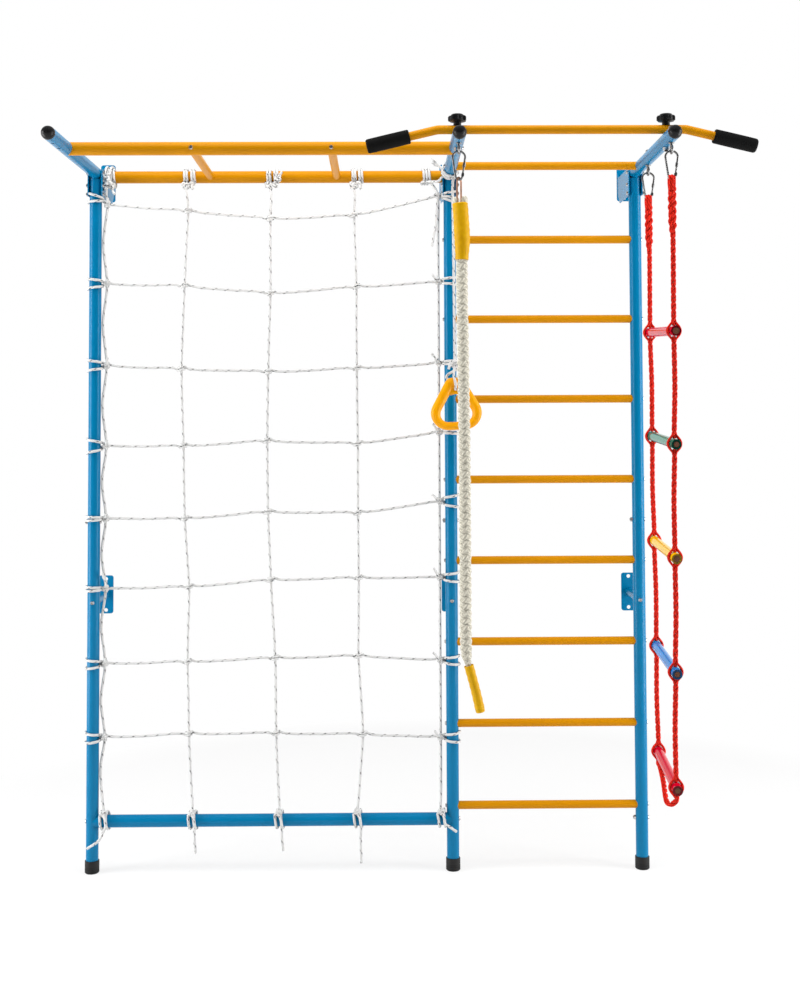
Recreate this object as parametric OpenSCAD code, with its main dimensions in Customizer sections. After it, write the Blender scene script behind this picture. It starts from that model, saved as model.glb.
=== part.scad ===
// Wall-mounted climbing gym for small children: three posts, a ladder wall, a climbing net,
// overhead bars, a pull-up bar, and a rope, a ring and a rope ladder that hang from the arms.
// The origin is on the floor under the middle post. +X runs right along the wall, +Y points at
// the wall and +Z is up. Lengths are in millimetres.

/* [Frame] */
// Distance from the left post axis to the middle post axis
left_bay = 1108; // [1000:1:1200]
// Distance from the middle post axis to the right post axis
right_bay = 583; // [520:1:640]
// Outside diameter of the posts, the arms and the long bars
post_d = 38; // [35:0.5:41]
// Wall of every steel tube
tube_wall = 1.5; // [1:0.1:2.5]
// Height of the post tops above the highest rung
post_top = 193; // [134:1:254]
// Height of the seam between the lower and the upper half of a post
seam_z = 1090; // [1085:1:1110]
// Length of the spigot that plugs the upper half into the lower one
spigot_len = 90; // [60:1:100]
// Distance from the seam down to its cross bolt
seam_bolt_drop = 20; // [14:1:25]

/* [Feet] */
// Outside diameter of a rubber foot
foot_d = 44; // [43:0.5:50]
// Height of a rubber foot
foot_h = 38; // [30:1:50]
// Thickness of the foot under the post
foot_floor = 5; // [3:0.5:8]
// Ribs round the bottom of a foot
foot_ribs = 3; // [2:1:4]

/* [Wall brackets] */
// Distance from the post axes to the wall
wall_gap = 180; // [140:1:220]
// Width of a wall plate
plate_w = 47; // [46:1:60]
// Height of a wall plate
plate_h = 122; // [116:1:140]
// Thickness of a wall plate
plate_t = 4; // [3:0.5:6]
// Corner radius of a wall plate
plate_corner = 8; // [2:1:12]
// Screw hole in a wall plate
wall_hole_d = 12; // [8:0.5:14]
// Distance between the two screw holes of a plate
wall_hole_pitch = 100; // [90:1:104]
// Thickness of the two cheeks that grip a post and an arm
cheek_t = 3; // [2:0.5:4]
// Depth of the cheeks below the post top
cheek_drop = 55; // [50:1:65]
// Rise of the cheeks above the arm axis
cheek_rise = 12; // [10:1:18]
// Height of the lower wall plates
mid_plate_z = 823; // [800:1:840]
// Diameter of the stand-off tube on a lower wall plate
standoff_d = 25; // [22:1:30]

/* [Rungs] */
// Diameter of a rung
rung_d = 25; // [22:0.5:30]
// Rungs on the ladder wall
rung_count = 8; // [8:1:8]
// Distance between rungs
rung_pitch = 250; // [240:1:258]
// Height of the lowest rung
first_rung_z = 196; // [190:1:210]
// Distance from the posts forward to the rung between the arms
top_rung_y = 106; // [100:1:130]

/* [Overhead bars] */
// Distance from the post axes to the front end of an arm
arm_reach = 570; // [555:1:640]
// Distance from an arm's front end back to the front bar
front_bar_y = 204; // [170:1:240]
// Distance from the posts back to the net's top bar
rear_bar_y = 40; // [36:1:60]
// Distance that the net's top bar lies below the arm axis
rear_bar_drop = 5; // [0:1:8]
// Height of the net's bottom bar
bottom_bar_z = 155; // [140:1:170]
// Distance from the outer posts to the nearest monkey rung
monkey_inset = 355; // [300:1:400]

/* [Pull-up bar] */
// Diameter of the pull-up bar
pull_bar_d = 25; // [22:0.5:30]
// Distance from an arm's front end back to the pull-up bar
pull_bar_y = 110; // [90:1:130]
// Straight length of the bar past each arm axis
bend_overhang = 48; // [40:1:70]
// Downward angle of the bar's ends
bend_angle = 13.5; // [5:0.5:25]
// Bend radius of the bar's centre line
bend_radius = 60; // [40:1:100]
// Straight length of a bent end
end_len = 192; // [160:1:220]
// Length of a foam grip
grip_len = 122; // [90:1:140]
// Diameter of a foam grip
grip_d = 40; // [34:0.5:46]
// Diameter of a star knob
knob_d = 52; // [44:1:60]
// Height of a star knob's head
knob_h = 22; // [16:1:28]
// Diameter of the neck under a knob
knob_neck_d = 22; // [18:1:28]
// Height of the neck under a knob
knob_neck_h = 8; // [5:1:12]
// Lobes round a knob
knob_lobes = 7; // [5:1:9]
// Diameter of a knob's threaded stud
stud_d = 10; // [8:0.5:12]

/* [Hooks and carabiners] */
// Distance from an arm's front end back to the front hooks
front_hook_y = 45; // [25:1:65]
// Distance from the posts forward to the ladder's rear hook
rear_hook_y = 212; // [180:1:240]
// Wire diameter of an eye bolt
eye_wire = 6; // [5:0.5:7]
// Inside diameter of an eye bolt's eye
eye_bore = 16; // [15:0.5:20]
// Width of a carabiner
carabiner_w = 40; // [38:0.5:46]
// Height of a carabiner
carabiner_h = 84; // [80:0.5:92]
// Wire diameter of a carabiner
carabiner_wire = 6; // [5:0.5:6.5]
// Centre-line radius of a carabiner's narrow end
carabiner_end_r = 9.5; // [9.5:0.5:11]
// Length of the gate from its hinge pin to its tip
gate_len = 31; // [28:0.5:32]

/* [Climbing rope] */
// Diameter of the climbing rope
rope_d = 34; // [28:0.5:36]
// Distance from the upper sleeve's top to the lower sleeve
rope_len = 1247; // [1000:1:1400]
// Diameter of the sleeve round the top of the rope
upper_sleeve_d = 43; // [41:0.5:48]
// Length of the sleeve round the top of the rope
upper_sleeve_len = 160; // [120:1:180]
// Diameter of the sleeve at the rope's lower end
lower_sleeve_d = 26; // [24:0.5:30]
// Length of the sleeve at the rope's lower end
lower_sleeve_len = 142; // [110:1:160]
// Sideways lean of the lower sleeve
lower_sleeve_lean = 14; // [0:0.5:20]
// Wire diameter of the thimble at the top of the rope
thimble_wire = 5; // [4:0.5:6]
// Inside width of the thimble
thimble_bore = 19; // [17:0.5:20]

/* [Rope ladder] */
// Rungs on the rope ladder
ladder_rungs = 5; // [5:1:5]
// Distance between the rope ladder's rungs
ladder_pitch = 307; // [280:1:312]
// Distance from the arm axis down to the ladder's first rung
ladder_drop = 528; // [480:1:540]
// Diameter of a ladder rung
ladder_rung_d = 28; // [24:0.5:32]
// Length of a ladder rung
ladder_rung_len = 370; // [350:1:400]
// Slope of the ladder's rungs, lower at the front
ladder_slope = 3; // [0:0.5:5]
// Turn of the ladder's lowest rung against its hooks
ladder_twist = 3.5; // [0:0.5:6]
// Diameter of the ladder's ropes
ladder_rope_d = 15; // [12:0.5:16]
// Diameter of the doubled rope at the top of the ladder
splice_d = 23; // [20:0.5:26]

/* [Ring] */
// Width of the hand ring
ring_w = 156; // [140:1:180]
// Height of the hand ring
ring_h = 182; // [165:1:200]
// Section diameter of the hand ring
ring_section = 27; // [24:0.5:30]
// Bend radius of the ring's lower corners
ring_corner = 39; // [34:1:44]
// Distance from the posts forward to the ring's rope
ring_y = 70; // [64:1:74]
// Distance from the arm axis down to the top of the ring
ring_drop = 625; // [580:1:680]

/* [Net] */
// Diameter of the net's and the ring's rope
net_d = 8; // [6:0.5:9]
// Height of the net's lowest row
net_first_z = 412; // [400:1:425]
// Height of the post tops above the net's highest row
net_head = 82; // [70:1:130]

/* [Fits] */
// Gap between two pieces that seat on each other
seat_gap = 0.2; // [0.1:0.05:0.3]
// Gap round a bolt in its hole
bolt_gap = 0.2; // [0.1:0.05:0.4]
// Gap round a turning pin or stud in its bore
pin_gap = 0.05; // [0.02:0.01:0.1]
// Gap between a moving piece and what it passes
run_gap = 0.4; // [0.3:0.05:0.6]

/* [Hidden] */
$fn = 48;
blue = [0.02, 0.42, 0.66];
yellow = [0.86, 0.6, 0.06];
black = [0.06, 0.06, 0.07];
steel = [0.62, 0.62, 0.63];
rope_white = [0.9, 0.89, 0.85];
rope_red = [0.8, 0.12, 0.06];
ladder_red = [0.75, 0.1, 0.15];
ladder_colours = [ladder_red, [0.05, 0.4, 0.28], [0.95, 0.75, 0.1], [0.05, 0.4, 0.75], ladder_red];

post_r = post_d / 2;
post_x = [-left_bay, 0, right_bay];
post_h = first_rung_z + (rung_count - 1) * rung_pitch + post_top;
arm_z = post_h + seat_gap + post_r;
arm_under = arm_z - post_r;
front_bar_at = arm_reach - front_bar_y;
pull_bar_at = arm_reach - pull_bar_y;
front_hook_at = arm_reach - front_hook_y;
rear_bar_z = arm_z - rear_bar_drop;
tube_bore = post_d - 2 * tube_wall;
cheek_x = post_r + seat_gap;
cheek_out = cheek_x + cheek_t;
bracket_bolt_z = [arm_z, post_h - cheek_drop * 0.35, post_h - cheek_drop * 0.85];
seam_bolt_z = seam_z - seam_bolt_drop;
rung_z = [for (i = [0:rung_count - 1]) first_rung_z + i * rung_pitch];

// Bolts: shank, button head, socket and nut
bolt_d = 8;
head_d = 13;
head_h = 4;
socket_d = 5;
bolt_nut_d = 14;
bolt_nut_h = 6;
plug_inset = 4;
plug_len = 20;
bolt_reach = plug_inset + plug_len;

// Pull-up bar and its clamps
pull_bar_z = arm_z + post_r + pull_bar_d / 2 + seat_gap;
knob_z = pull_bar_z + pull_bar_d / 2 + seat_gap;
stud_hole_d = stud_d + 2 * run_gap;
clamp_nut_d = 20;
clamp_nut_h = 8;
clamp_nut_z = arm_under - seat_gap - clamp_nut_h;

// Carabiner outline: a wide upper arc, a narrow lower arc and two tangent limbs
carabiner_r = carabiner_w / 2 - carabiner_wire / 2;
carabiner_span = carabiner_h - carabiner_w / 2 - carabiner_end_r - carabiner_wire / 2;
limb_lean = asin((carabiner_r - carabiner_end_r) / carabiner_span);
limb_len = carabiner_span * cos(limb_lean);
limb_top = [carabiner_r * cos(limb_lean), 0, -carabiner_r * sin(limb_lean)];
hinge_at = limb_len - 7;
limb_step = 0.1;
limb_bite = 1;
gate_gap = 1;
gate_tip = hinge_at - gate_len;
hinge_pin_d = 2.6;
hinge_ear_d = 7.5;
hinge_ear_t = 1.8;
hinge_stub_gap = 4.5;
tongue_t = 2.6;

// Heights of what hangs from the eye bolts
eye_r = eye_bore / 2 + eye_wire / 2;
eye_z = arm_under - 3 - eye_wire - eye_bore / 2 - eye_wire / 3;
hang_z = eye_z - eye_bore / 2 + run_gap + carabiner_wire / 2;
carabiner_z = hang_z - carabiner_r;
carabiner_end_z = carabiner_z - carabiner_span;
end_wire_z = carabiner_end_z - carabiner_end_r;

// Climbing rope, measured down from the carabiner's lower end
thimble_r = thimble_bore / 2 + thimble_wire / 2;
thimble_turn = 60;
thimble_z = end_wire_z + carabiner_wire / 2 + run_gap + thimble_wire / 2 - thimble_r;
rope_top_z = end_wire_z - 70;
sleeve_top_z = rope_top_z + 15;
rope_end_z = sleeve_top_z - rope_len;
rope_end_x = 15;
lean_way = [sin(lower_sleeve_lean), 0, -cos(lower_sleeve_lean)];
rope_core_d = lower_sleeve_d - 6;
rope_drift = 11;
function rope_bow(s) = rope_drift * sin(90 * min(1, max(0, 2 * s - 0.2)));
rope_route = concat(
    [for (s = [0:0.1:0.9]) [rope_bow(s), 0, rope_top_z + s * (rope_end_z - rope_top_z)]],
    [[rope_drift, 0, rope_end_z + 60], [12, 0, rope_end_z + 30], [13, 0, rope_end_z + 12]]
);

// Rope ladder
ladder_z = [for (i = [0:ladder_rungs - 1]) arm_z - ladder_drop - i * ladder_pitch];
ladder_y = -(front_hook_at + rear_hook_y) / 2;
strand_d = 6.5;
strand_r = (ladder_rung_d / 2 + run_gap + strand_d / 2) / cos(15);
ladder_half = (front_hook_at - rear_hook_y) / 2;
splice_len = 95;
splice_top_z = end_wire_z - 16;
eye_strand_d = 10;
eye_strand_r = carabiner_wire / 2 + run_gap + eye_strand_d / 2;

// Hand ring, drawn round the centres of its lower corners
ring_top_z = arm_z - ring_drop;
ring_corner_x = ring_w / 2 - ring_section / 2 - ring_corner;
ring_apex_z = ring_h - ring_section - ring_corner;
ring_z = ring_top_z - ring_section / 2 - ring_apex_z;
ring_limb_turn = atan2(ring_apex_z, -ring_corner_x) - acos(ring_corner / norm([ring_corner_x, ring_apex_z]));
ring_hole_d = net_d + 1.4;
ring_hole_z = ring_apex_z - 43;
ring_web_z = ring_apex_z - 58;
ring_web_t = 18;
ring_x = 10;
ring_tilt = 2;
ring_hole_x = ring_x + (ring_apex_z - ring_hole_z) * sin(ring_tilt);
ring_eye_z = ring_z + ring_hole_z;
coil_steps = 24;
coil_r = (post_r + net_d / 2 + run_gap) / cos(180 / coil_steps);
ring_drop_top = arm_z - 2 * post_r - 22;
ring_drop_end = ring_eye_z + 122;
ring_rope_drop = concat(
    [[ring_x * 0.2, 6, ring_drop_top + 20]],
    [for (s = [0:0.25:1]) [ring_x * (0.4 + 0.6 * s), 0, ring_drop_top + s * (ring_drop_end - ring_drop_top)]],
    [
        [ring_x, -6, ring_eye_z + 88], [ring_x, -17, ring_eye_z + 68],
        [ring_hole_x, -22, ring_eye_z + 44], [ring_hole_x, -22, ring_eye_z + 22],
        [ring_hole_x, -20, ring_eye_z + 8], [ring_hole_x, -14, ring_eye_z],
        [ring_hole_x, 14, ring_eye_z], [ring_hole_x, 20, ring_eye_z + 8],
        [ring_hole_x, 22, ring_eye_z + 22], [ring_hole_x, 22, ring_eye_z + 44],
        [ring_x + 2, 18, ring_eye_z + 68], [ring_x + 4, 12, ring_eye_z + 86],
        [ring_x + 6, 9, ring_eye_z + 102]
    ]
);

// Climbing net: how far each knot lies above its level row, in rope diameters, from the lowest row up,
// at the left post, the three inner ropes and the middle post
net_lift = [
    [-0.25, 1, 1, 0.375, -0.875], [-1.5, -0.875, 0.375, 1, -0.875],
    [-2.125, -1.5, 1, 1.625, 1.625], [-1.5, -4.625, -2.125, -2.75, 1.625],
    [-5.875, -5.875, -4, -5.25, -0.875], [-4, -5.25, -6.5, -5.25, -3.375],
    [-1.5, -2.125, -5.25, -2.75, -0.875], [0.375, -2.125, -5.25, -4, 0.375]
];
net_pitch = (post_h - net_head - net_first_z) / (len(net_lift) - 1);
net_heights = [
    for (i = [len(net_lift) - 1:-1:0])
        [for (lift = net_lift[i]) net_first_z + i * net_pitch + lift * net_d]
];
net_columns = 5;
net_inset = post_r + 17.5;
net_sway = net_d * 1.5;
knot_d = 2 * net_d;
wrap_turns = 2;
wrap_pitch = net_d + 1;
wrap_steps = 8;
wrap_r = (post_r + net_d / 2 + run_gap) / cos(180 / wrap_steps);

// Places along X, Y or Z
module along_x() { rotate([0, 90, 0]) children(); }
module along_y() { rotate([-90, 0, 0]) children(); }

// A drill through a tube along X, centred on the given point
module drill_x(at, d) { translate(at) along_x() cylinder(d = d, h = 2 * post_d, center = true); }
module drill_y(at, d) { translate(at) along_y() cylinder(d = d, h = 2 * post_d, center = true); }
module drill_z(at, d) { translate(at) cylinder(d = d, h = 2 * post_d, center = true); }

// Straight tube standing on its lower end
module tube(d, h, wall = tube_wall) {
    difference() {
        cylinder(d = d, h = h);
        translate([0, 0, -1]) cylinder(d = d - 2 * wall, h = h + 2);
    }
}

// Straight tube with a threaded plug inside each end for its bolts
module plugged_tube(d, h, end) {
    difference() {
        union() {
            tube(d, h);
            for (z = [end + plug_inset, h - end - plug_inset - plug_len])
                translate([0, 0, z]) cylinder(d = d - tube_wall, h = plug_len);
        }
        translate([0, 0, -1]) cylinder(d = bolt_d + 2 * bolt_gap, h = h + 2);
    }
}

// A bar from post axis to post axis whose ends are cut to sit on round posts or arms
module saddle_bar(d, h, seat_d, seat_turn) {
    difference() {
        along_x() plugged_tube(d, h, seat_d / 2 + seat_gap);
        for (x = [0, h])
            translate([x, 0, 0]) rotate(seat_turn)
                cylinder(d = seat_d + 2 * seat_gap, h = 3 * post_d, center = true);
    }
}

// Bolt with its head's seat at the origin and its shank along +Z
module bolt(h) {
    difference() {
        union() {
            translate([0, 0, -head_h]) cylinder(d1 = head_d * 0.7, d2 = head_d, h = head_h);
            translate([0, 0, -0.5]) cylinder(d = bolt_d, h = h + 0.5);
        }
        translate([0, 0, -head_h - 1]) cylinder(d = socket_d, h = head_h * 0.6 + 1, $fn = 6);
    }
}

// Bolt through a stack of the given thickness with a nut on its far side
module through_bolt(h) {
    bolt(h + bolt_nut_h + 2);
    translate([0, 0, h]) cylinder(d = bolt_nut_d, h = bolt_nut_h, $fn = 6);
}

// Swept tubes for ropes: one ring of points at each point of a route. Each ring starts across the
// rope from its side way, which never lies along the rope.
function unit(v) = v / norm(v);
function heading(route, i) = unit(route[min(i + 1, len(route) - 1)] - route[max(i - 1, 0)]);
function rope_ring(route, i, r, sides, side_way) =
    let (t = heading(route, i), u = unit(cross(t, side_way)), w = cross(t, u))
    [for (k = [0:sides - 1]) route[i] + r * (cos(360 * k / sides) * u + sin(360 * k / sides) * w)];

module swept_tube(route, radii, sides, ways) {
    last = len(route) - 1;
    points = [
        for (i = [0:last])
            each rope_ring(route, i, radii[min(i, len(radii) - 1)], sides, ways[min(i, len(ways) - 1)])
    ];
    walls = [
        for (i = [0:last - 1], k = [0:sides - 1])
            let (a = i * sides + k, b = i * sides + (k + 1) % sides)
            each [[a, a + sides, b + sides], [a, b + sides, b]]
    ];
    caps = [
        for (k = [1:sides - 2])
            each [[0, k, k + 1], [last * sides, last * sides + k + 1, last * sides + k]]
    ];
    polyhedron(points, concat(walls, caps));
}

// A closed rope loop in the XZ plane
module rope_loop(r, rope_r, sides, steps) {
    points = [
        for (i = [0:steps - 1], k = [0:sides - 1])
            let (a = 360 * i / steps, b = 180 + 360 * k / sides, d = r + rope_r * cos(b))
            [d * cos(a), rope_r * sin(b), d * sin(a)]
    ];
    walls = [
        for (i = [0:steps - 1], k = [0:sides - 1])
            let (j = (i + 1) % steps, n = (k + 1) % sides)
            let (a = i * sides + k, b = j * sides + k, c = j * sides + n, d = i * sides + n)
            each [[a, b, c], [a, c, d]]
    ];
    polyhedron(points, walls);
}

// Points of a rope wound round an axis, centred on the middle of its turns
function wound(centre, axis, start, r, turns, pitch, steps) =
    let (side = cross(axis, start), count = turns * steps)
    [
        for (i = [0:count])
            let (a = 360 * i / steps)
            centre + r * (cos(a) * start + sin(a) * side) + axis * pitch * (i / steps - turns / 2)
    ];

// Smallest gap of a rope of diameter d to itself, between points more than three diameters apart on it
function step_to(route, i) = i < len(route) ? norm(route[i] - route[i - 1]) : 0;
function run_lengths(route) = [
    for (i = 0, run = 0; i < len(route); i = i + 1, run = run + step_to(route, i)) run
];
function least_gap(route, d) =
    let (run = run_lengths(route), last = len(route) - 1)
    min([for (i = [0:last], j = [i:last]) if (run[j] - run[i] > 3 * d) norm(route[j] - route[i]) - d]);

// Posts
module post_holes(side) {
    x = post_x[side];
    hole = bolt_d + 2 * bolt_gap;
    drill_x([x, 0, seam_bolt_z], hole);
    drill_x([x, 0, bottom_bar_z], hole);
    for (z = [bracket_bolt_z[1], bracket_bolt_z[2]]) drill_x([x, 0, z], hole);
    drill_y([x, 0, mid_plate_z], hole);
    if (side > 0)
        for (z = rung_z) drill_x([x, 0, z], hole);
}

module post_lower(side) {
    color(blue) difference() {
        translate([post_x[side], 0, foot_floor + seat_gap]) tube(post_d, seam_z - foot_floor - seat_gap);
        post_holes(side);
    }
}

module post_upper(side) {
    color(blue) difference() {
        translate([post_x[side], 0, 0]) {
            translate([0, 0, seam_z + seat_gap]) tube(post_d, post_h - seam_z - seat_gap);
            translate([0, 0, seam_z - spigot_len])
                tube(tube_bore - 2 * bolt_gap, 1.5 * spigot_len, 2 * tube_wall);
            translate([0, 0, seam_z + seat_gap + 2]) tube(post_d - tube_wall, 10);
        }
        post_holes(side);
    }
}

// Rubber feet: a ribbed cup under each post
module foot() {
    rib_h = foot_h * 0.45 / foot_ribs;
    rib_depth = 1;
    rotate_extrude() difference() {
        union() {
            square([foot_d / 2 - rib_depth, foot_h]);
            translate([0, foot_h * 0.5]) square([foot_d / 2, foot_h * 0.5]);
            for (i = [0:foot_ribs - 1])
                translate([0, i * rib_h + rib_h * 0.2]) square([foot_d / 2, rib_h * 0.6]);
        }
        translate([-1, foot_floor]) square([post_r + seat_gap + 1, foot_h]);
        translate([foot_d / 2, 0]) circle(r = 2.5);
        translate([foot_d / 2, foot_h]) circle(r = 1.2);
    }
}

module post_feet() {
    color(black) for (x = post_x) translate([x, 0, 0]) foot();
}

// Ladder wall rungs, bolted from outside the posts
module rung(i) {
    color(yellow) translate([0, 0, rung_z[i - 1]]) saddle_bar(rung_d, right_bay, post_d, [0, 0, 0]);
}

module top_rung() {
    color(yellow) translate([0, -top_rung_y, arm_z]) saddle_bar(rung_d, right_bay, post_d, [90, 0, 0]);
}

// Arms: level tubes that lie on the post tops and reach into the room
module arm(side) {
    x = post_x[side];
    hole = bolt_d + 2 * bolt_gap;
    color(blue) difference() {
        translate([x, -arm_reach, arm_z]) along_y() tube(post_d, arm_reach + post_r);
        drill_x([x, 0, arm_z], hole);
        if (side < 2) drill_x([x, -front_bar_at, arm_z], hole);
        if (side > 0) drill_x([x, -top_rung_y, arm_z], hole);
        drill_z([x, -pull_bar_at, arm_z], stud_hole_d);
        drill_z([x, -front_hook_at, arm_z], hole);
        if (side == 2) drill_z([x, -rear_hook_y, arm_z], hole);
    }
}

// Domed plugs in the front ends of the arms
module arm_caps() {
    insert_r = tube_bore / 2 - seat_gap;
    color(black) for (x = post_x)
        translate([x, -arm_reach - seat_gap, arm_z]) rotate([90, 0, 0]) {
            intersection() {
                translate([0, 0, 2]) sphere(d = post_d);
                cylinder(d = post_d, h = post_d);
            }
            cylinder(d = post_d, h = 2);
            translate([0, 0, -18]) difference() {
                cylinder(r = insert_r, h = 18.5);
                translate([0, 0, -1]) cylinder(r = insert_r - 2.5, h = 17);
            }
        }
}

// Wall plate with two screw holes, standing against the wall and centred on the origin
module wall_plate() {
    inner = plate_corner;
    difference() {
        translate([0, -plate_t, 0]) along_y() {
            cube_w = plate_w - 2 * inner;
            cube_h = plate_h - 2 * inner;
            translate([-plate_w / 2, -cube_h / 2, 0]) cube([plate_w, cube_h, plate_t]);
            translate([-cube_w / 2, -plate_h / 2, 0]) cube([cube_w, plate_h, plate_t]);
            for (x = [-1, 1], y = [-1, 1])
                translate([x * cube_w / 2, y * cube_h / 2, 0]) cylinder(r = inner, h = plate_t);
        }
        for (z = [-1, 1])
            translate([0, 0, z * wall_hole_pitch / 2]) along_y()
                cylinder(d = wall_hole_d, h = 4 * plate_t, center = true);
    }
}

// Upper brackets: two cheeks welded to a wall plate, with the post and the arm between them
module cheek_outline() {
    front = -post_r;
    back = wall_gap - plate_t + 0.5;
    low = post_h - cheek_drop;
    high = arm_z + cheek_rise;
    slope = 40;
    polygon([
        [front, low + 4], [front + 4, low], [back - slope, low], [back, arm_z - 30],
        [back, arm_z + 30], [back - 20, high], [front + 4, high], [front, high - 4]
    ]);
}

module top_bracket(side) {
    x = post_x[side];
    hole = bolt_d + 2 * bolt_gap;
    color(blue) difference() {
        union() {
            translate([x, wall_gap, arm_z]) wall_plate();
            for (inner_x = [cheek_x, -cheek_out])
                translate([x + inner_x, 0, 0]) rotate([90, 0, 90]) linear_extrude(cheek_t) cheek_outline();
        }
        for (z = bracket_bolt_z) drill_x([x, 0, z], hole);
        if (side == 0) drill_x([x + cheek_x + post_d, rear_bar_y, rear_bar_z], hole);
        if (side == 1) drill_x([x - cheek_x - post_d, rear_bar_y, rear_bar_z], hole);
    }
}

// Lower brackets: a stand-off tube between the wall plate and the back of the post
module mid_bracket(side) {
    run = wall_gap - plate_t + 0.5;
    color(blue) translate([post_x[side], 0, mid_plate_z]) difference() {
        union() {
            translate([0, wall_gap, 0]) wall_plate();
            along_y() plugged_tube(standoff_d, run, post_r + seat_gap);
        }
        cylinder(d = post_d + 2 * seat_gap, h = 3 * post_d, center = true);
    }
}

// Long bars of the net bay
module front_bar() {
    color(yellow) difference() {
        translate([-left_bay, -front_bar_at, arm_z]) saddle_bar(post_d, left_bay, post_d, [90, 0, 0]);
        for (x = monkey_x) at_monkey_rung(x) drill_y([0, 0, 0], bolt_d + 2 * bolt_gap);
    }
}

module rear_bar() {
    run = left_bay - 2 * cheek_out - 2 * seat_gap;
    color(yellow) difference() {
        translate([-left_bay + cheek_out + seat_gap, rear_bar_y, rear_bar_z]) along_x()
            plugged_tube(post_d, run, -plug_inset);
        for (x = monkey_x)
            at_monkey_rung(x) drill_y([0, monkey_len, 0], bolt_d + 2 * bolt_gap);
    }
}

module bottom_bar() {
    color(blue) translate([-left_bay, 0, bottom_bar_z]) saddle_bar(post_d, left_bay, post_d, [0, 0, 0]);
}

// Monkey rungs from the front bar to the net's top bar
monkey_x = [-left_bay + monkey_inset, -monkey_inset];
monkey_len = norm([front_bar_at + rear_bar_y, rear_bar_drop]);
monkey_fall = atan2(rear_bar_drop, front_bar_at + rear_bar_y);

module at_monkey_rung(x) {
    translate([x, -front_bar_at, arm_z]) rotate([-monkey_fall, 0, 0]) children();
}

module monkey_rung(i) {
    color(yellow) at_monkey_rung(monkey_x[i])
        rotate([0, 0, 90]) saddle_bar(rung_d, monkey_len, post_d, [90, 0, 0]);
}

// All bolts of the frame
module frame_bolts() {
    stack = 2 * cheek_out;
    color(steel) {
        for (z = rung_z) {
            translate([-post_r - seat_gap, 0, z]) along_x() bolt(post_d + bolt_reach);
            translate([right_bay + post_r + seat_gap, 0, z]) rotate([0, -90, 0]) bolt(post_d + bolt_reach);
        }
        translate([-post_r - seat_gap, -top_rung_y, arm_z]) along_x() bolt(post_d + bolt_reach);
        translate([right_bay + post_r + seat_gap, -top_rung_y, arm_z]) rotate([0, -90, 0])
            bolt(post_d + bolt_reach);
        for (y_z = [[0, bottom_bar_z], [-front_bar_at, arm_z]]) {
            translate([-left_bay - post_r - seat_gap, y_z[0], y_z[1]]) along_x() bolt(post_d + bolt_reach);
            translate([post_r + seat_gap, y_z[0], y_z[1]]) rotate([0, -90, 0]) bolt(post_d + bolt_reach);
        }
        translate([right_bay + post_r + seat_gap, 0, bottom_bar_z]) rotate([0, -90, 0])
            through_bolt(post_d + 2 * seat_gap);
        for (x = post_x) {
            translate([x + post_r + seat_gap, 0, seam_bolt_z]) rotate([0, -90, 0])
                through_bolt(post_d + 2 * seat_gap);
            translate([x, -post_r - seat_gap, mid_plate_z]) along_y() bolt(post_d + bolt_reach);
        }
        for (side = [0:2], z = bracket_bolt_z)
            translate([post_x[side], 0, z]) mirror([side == 0 ? 1 : 0, 0, 0])
                translate([-cheek_out - seat_gap, 0, 0]) along_x() through_bolt(stack + 2 * seat_gap);
        translate([-left_bay + cheek_x - seat_gap, rear_bar_y, rear_bar_z]) along_x()
            bolt(cheek_t + plug_len);
        translate([-cheek_x + seat_gap, rear_bar_y, rear_bar_z]) rotate([0, -90, 0])
            bolt(cheek_t + plug_len);
        for (x = monkey_x) at_monkey_rung(x) {
            translate([0, -post_r - seat_gap, 0]) along_y() bolt(post_d + bolt_reach);
            translate([0, monkey_len + post_r + seat_gap, 0]) rotate([90, 0, 0]) bolt(post_d + bolt_reach);
        }
    }
}

// Pull-up bar: a straight tube across two arms with both ends bent down
module bent_end() {
    translate([0, 0, -bend_radius]) rotate([90, 0, 0]) rotate([0, 0, 90 - bend_angle])
        rotate_extrude(angle = bend_angle) translate([bend_radius, 0]) children();
}

module in_bar_end() {
    translate([0, 0, -bend_radius]) rotate([0, bend_angle, 0]) translate([0, 0, bend_radius]) children();
}

module at_bar_end(side) {
    end_x = side == 0 ? -bend_overhang : right_bay + bend_overhang;
    translate([end_x, -pull_bar_at, pull_bar_z]) mirror([side == 0 ? 1 : 0, 0, 0]) children();
}

module bar_run(d, spare) {
    straight_d = d - 2 * limb_step;
    translate([-bend_overhang - limb_bite, -pull_bar_at, pull_bar_z]) along_x()
        cylinder(d = straight_d, h = right_bay + 2 * bend_overhang + 2 * limb_bite);
    for (side = [0, 1]) at_bar_end(side) {
        bent_end() circle(d = d);
        in_bar_end() along_x() translate([0, 0, -limb_bite])
            cylinder(d = straight_d, h = end_len + limb_bite + spare);
    }
}

module pull_up_bar() {
    color(yellow) difference() {
        bar_run(pull_bar_d, 0);
        bar_run(pull_bar_d - 2 * tube_wall, 1);
        for (x = [0, right_bay]) drill_z([x, -pull_bar_at, pull_bar_z], stud_hole_d);
    }
}

module grip(side) {
    end_round = 7;
    end_wall = 4;
    color(black) at_bar_end(side) in_bar_end()
        translate([end_len + end_wall, 0, 0]) rotate([0, -90, 0]) rotate_extrude() difference() {
            union() {
                translate([0, end_round]) square([grip_d / 2, grip_len - end_round - 2]);
                translate([grip_d / 2 - end_round, end_round]) circle(r = end_round);
                square([grip_d / 2 - end_round, grip_len]);
            }
            translate([-grip_d, -1]) square([grip_d, grip_len + 2]);
            translate([-1, end_wall - seat_gap]) square([pull_bar_d / 2 + seat_gap + 1, grip_len]);
        }
}

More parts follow.
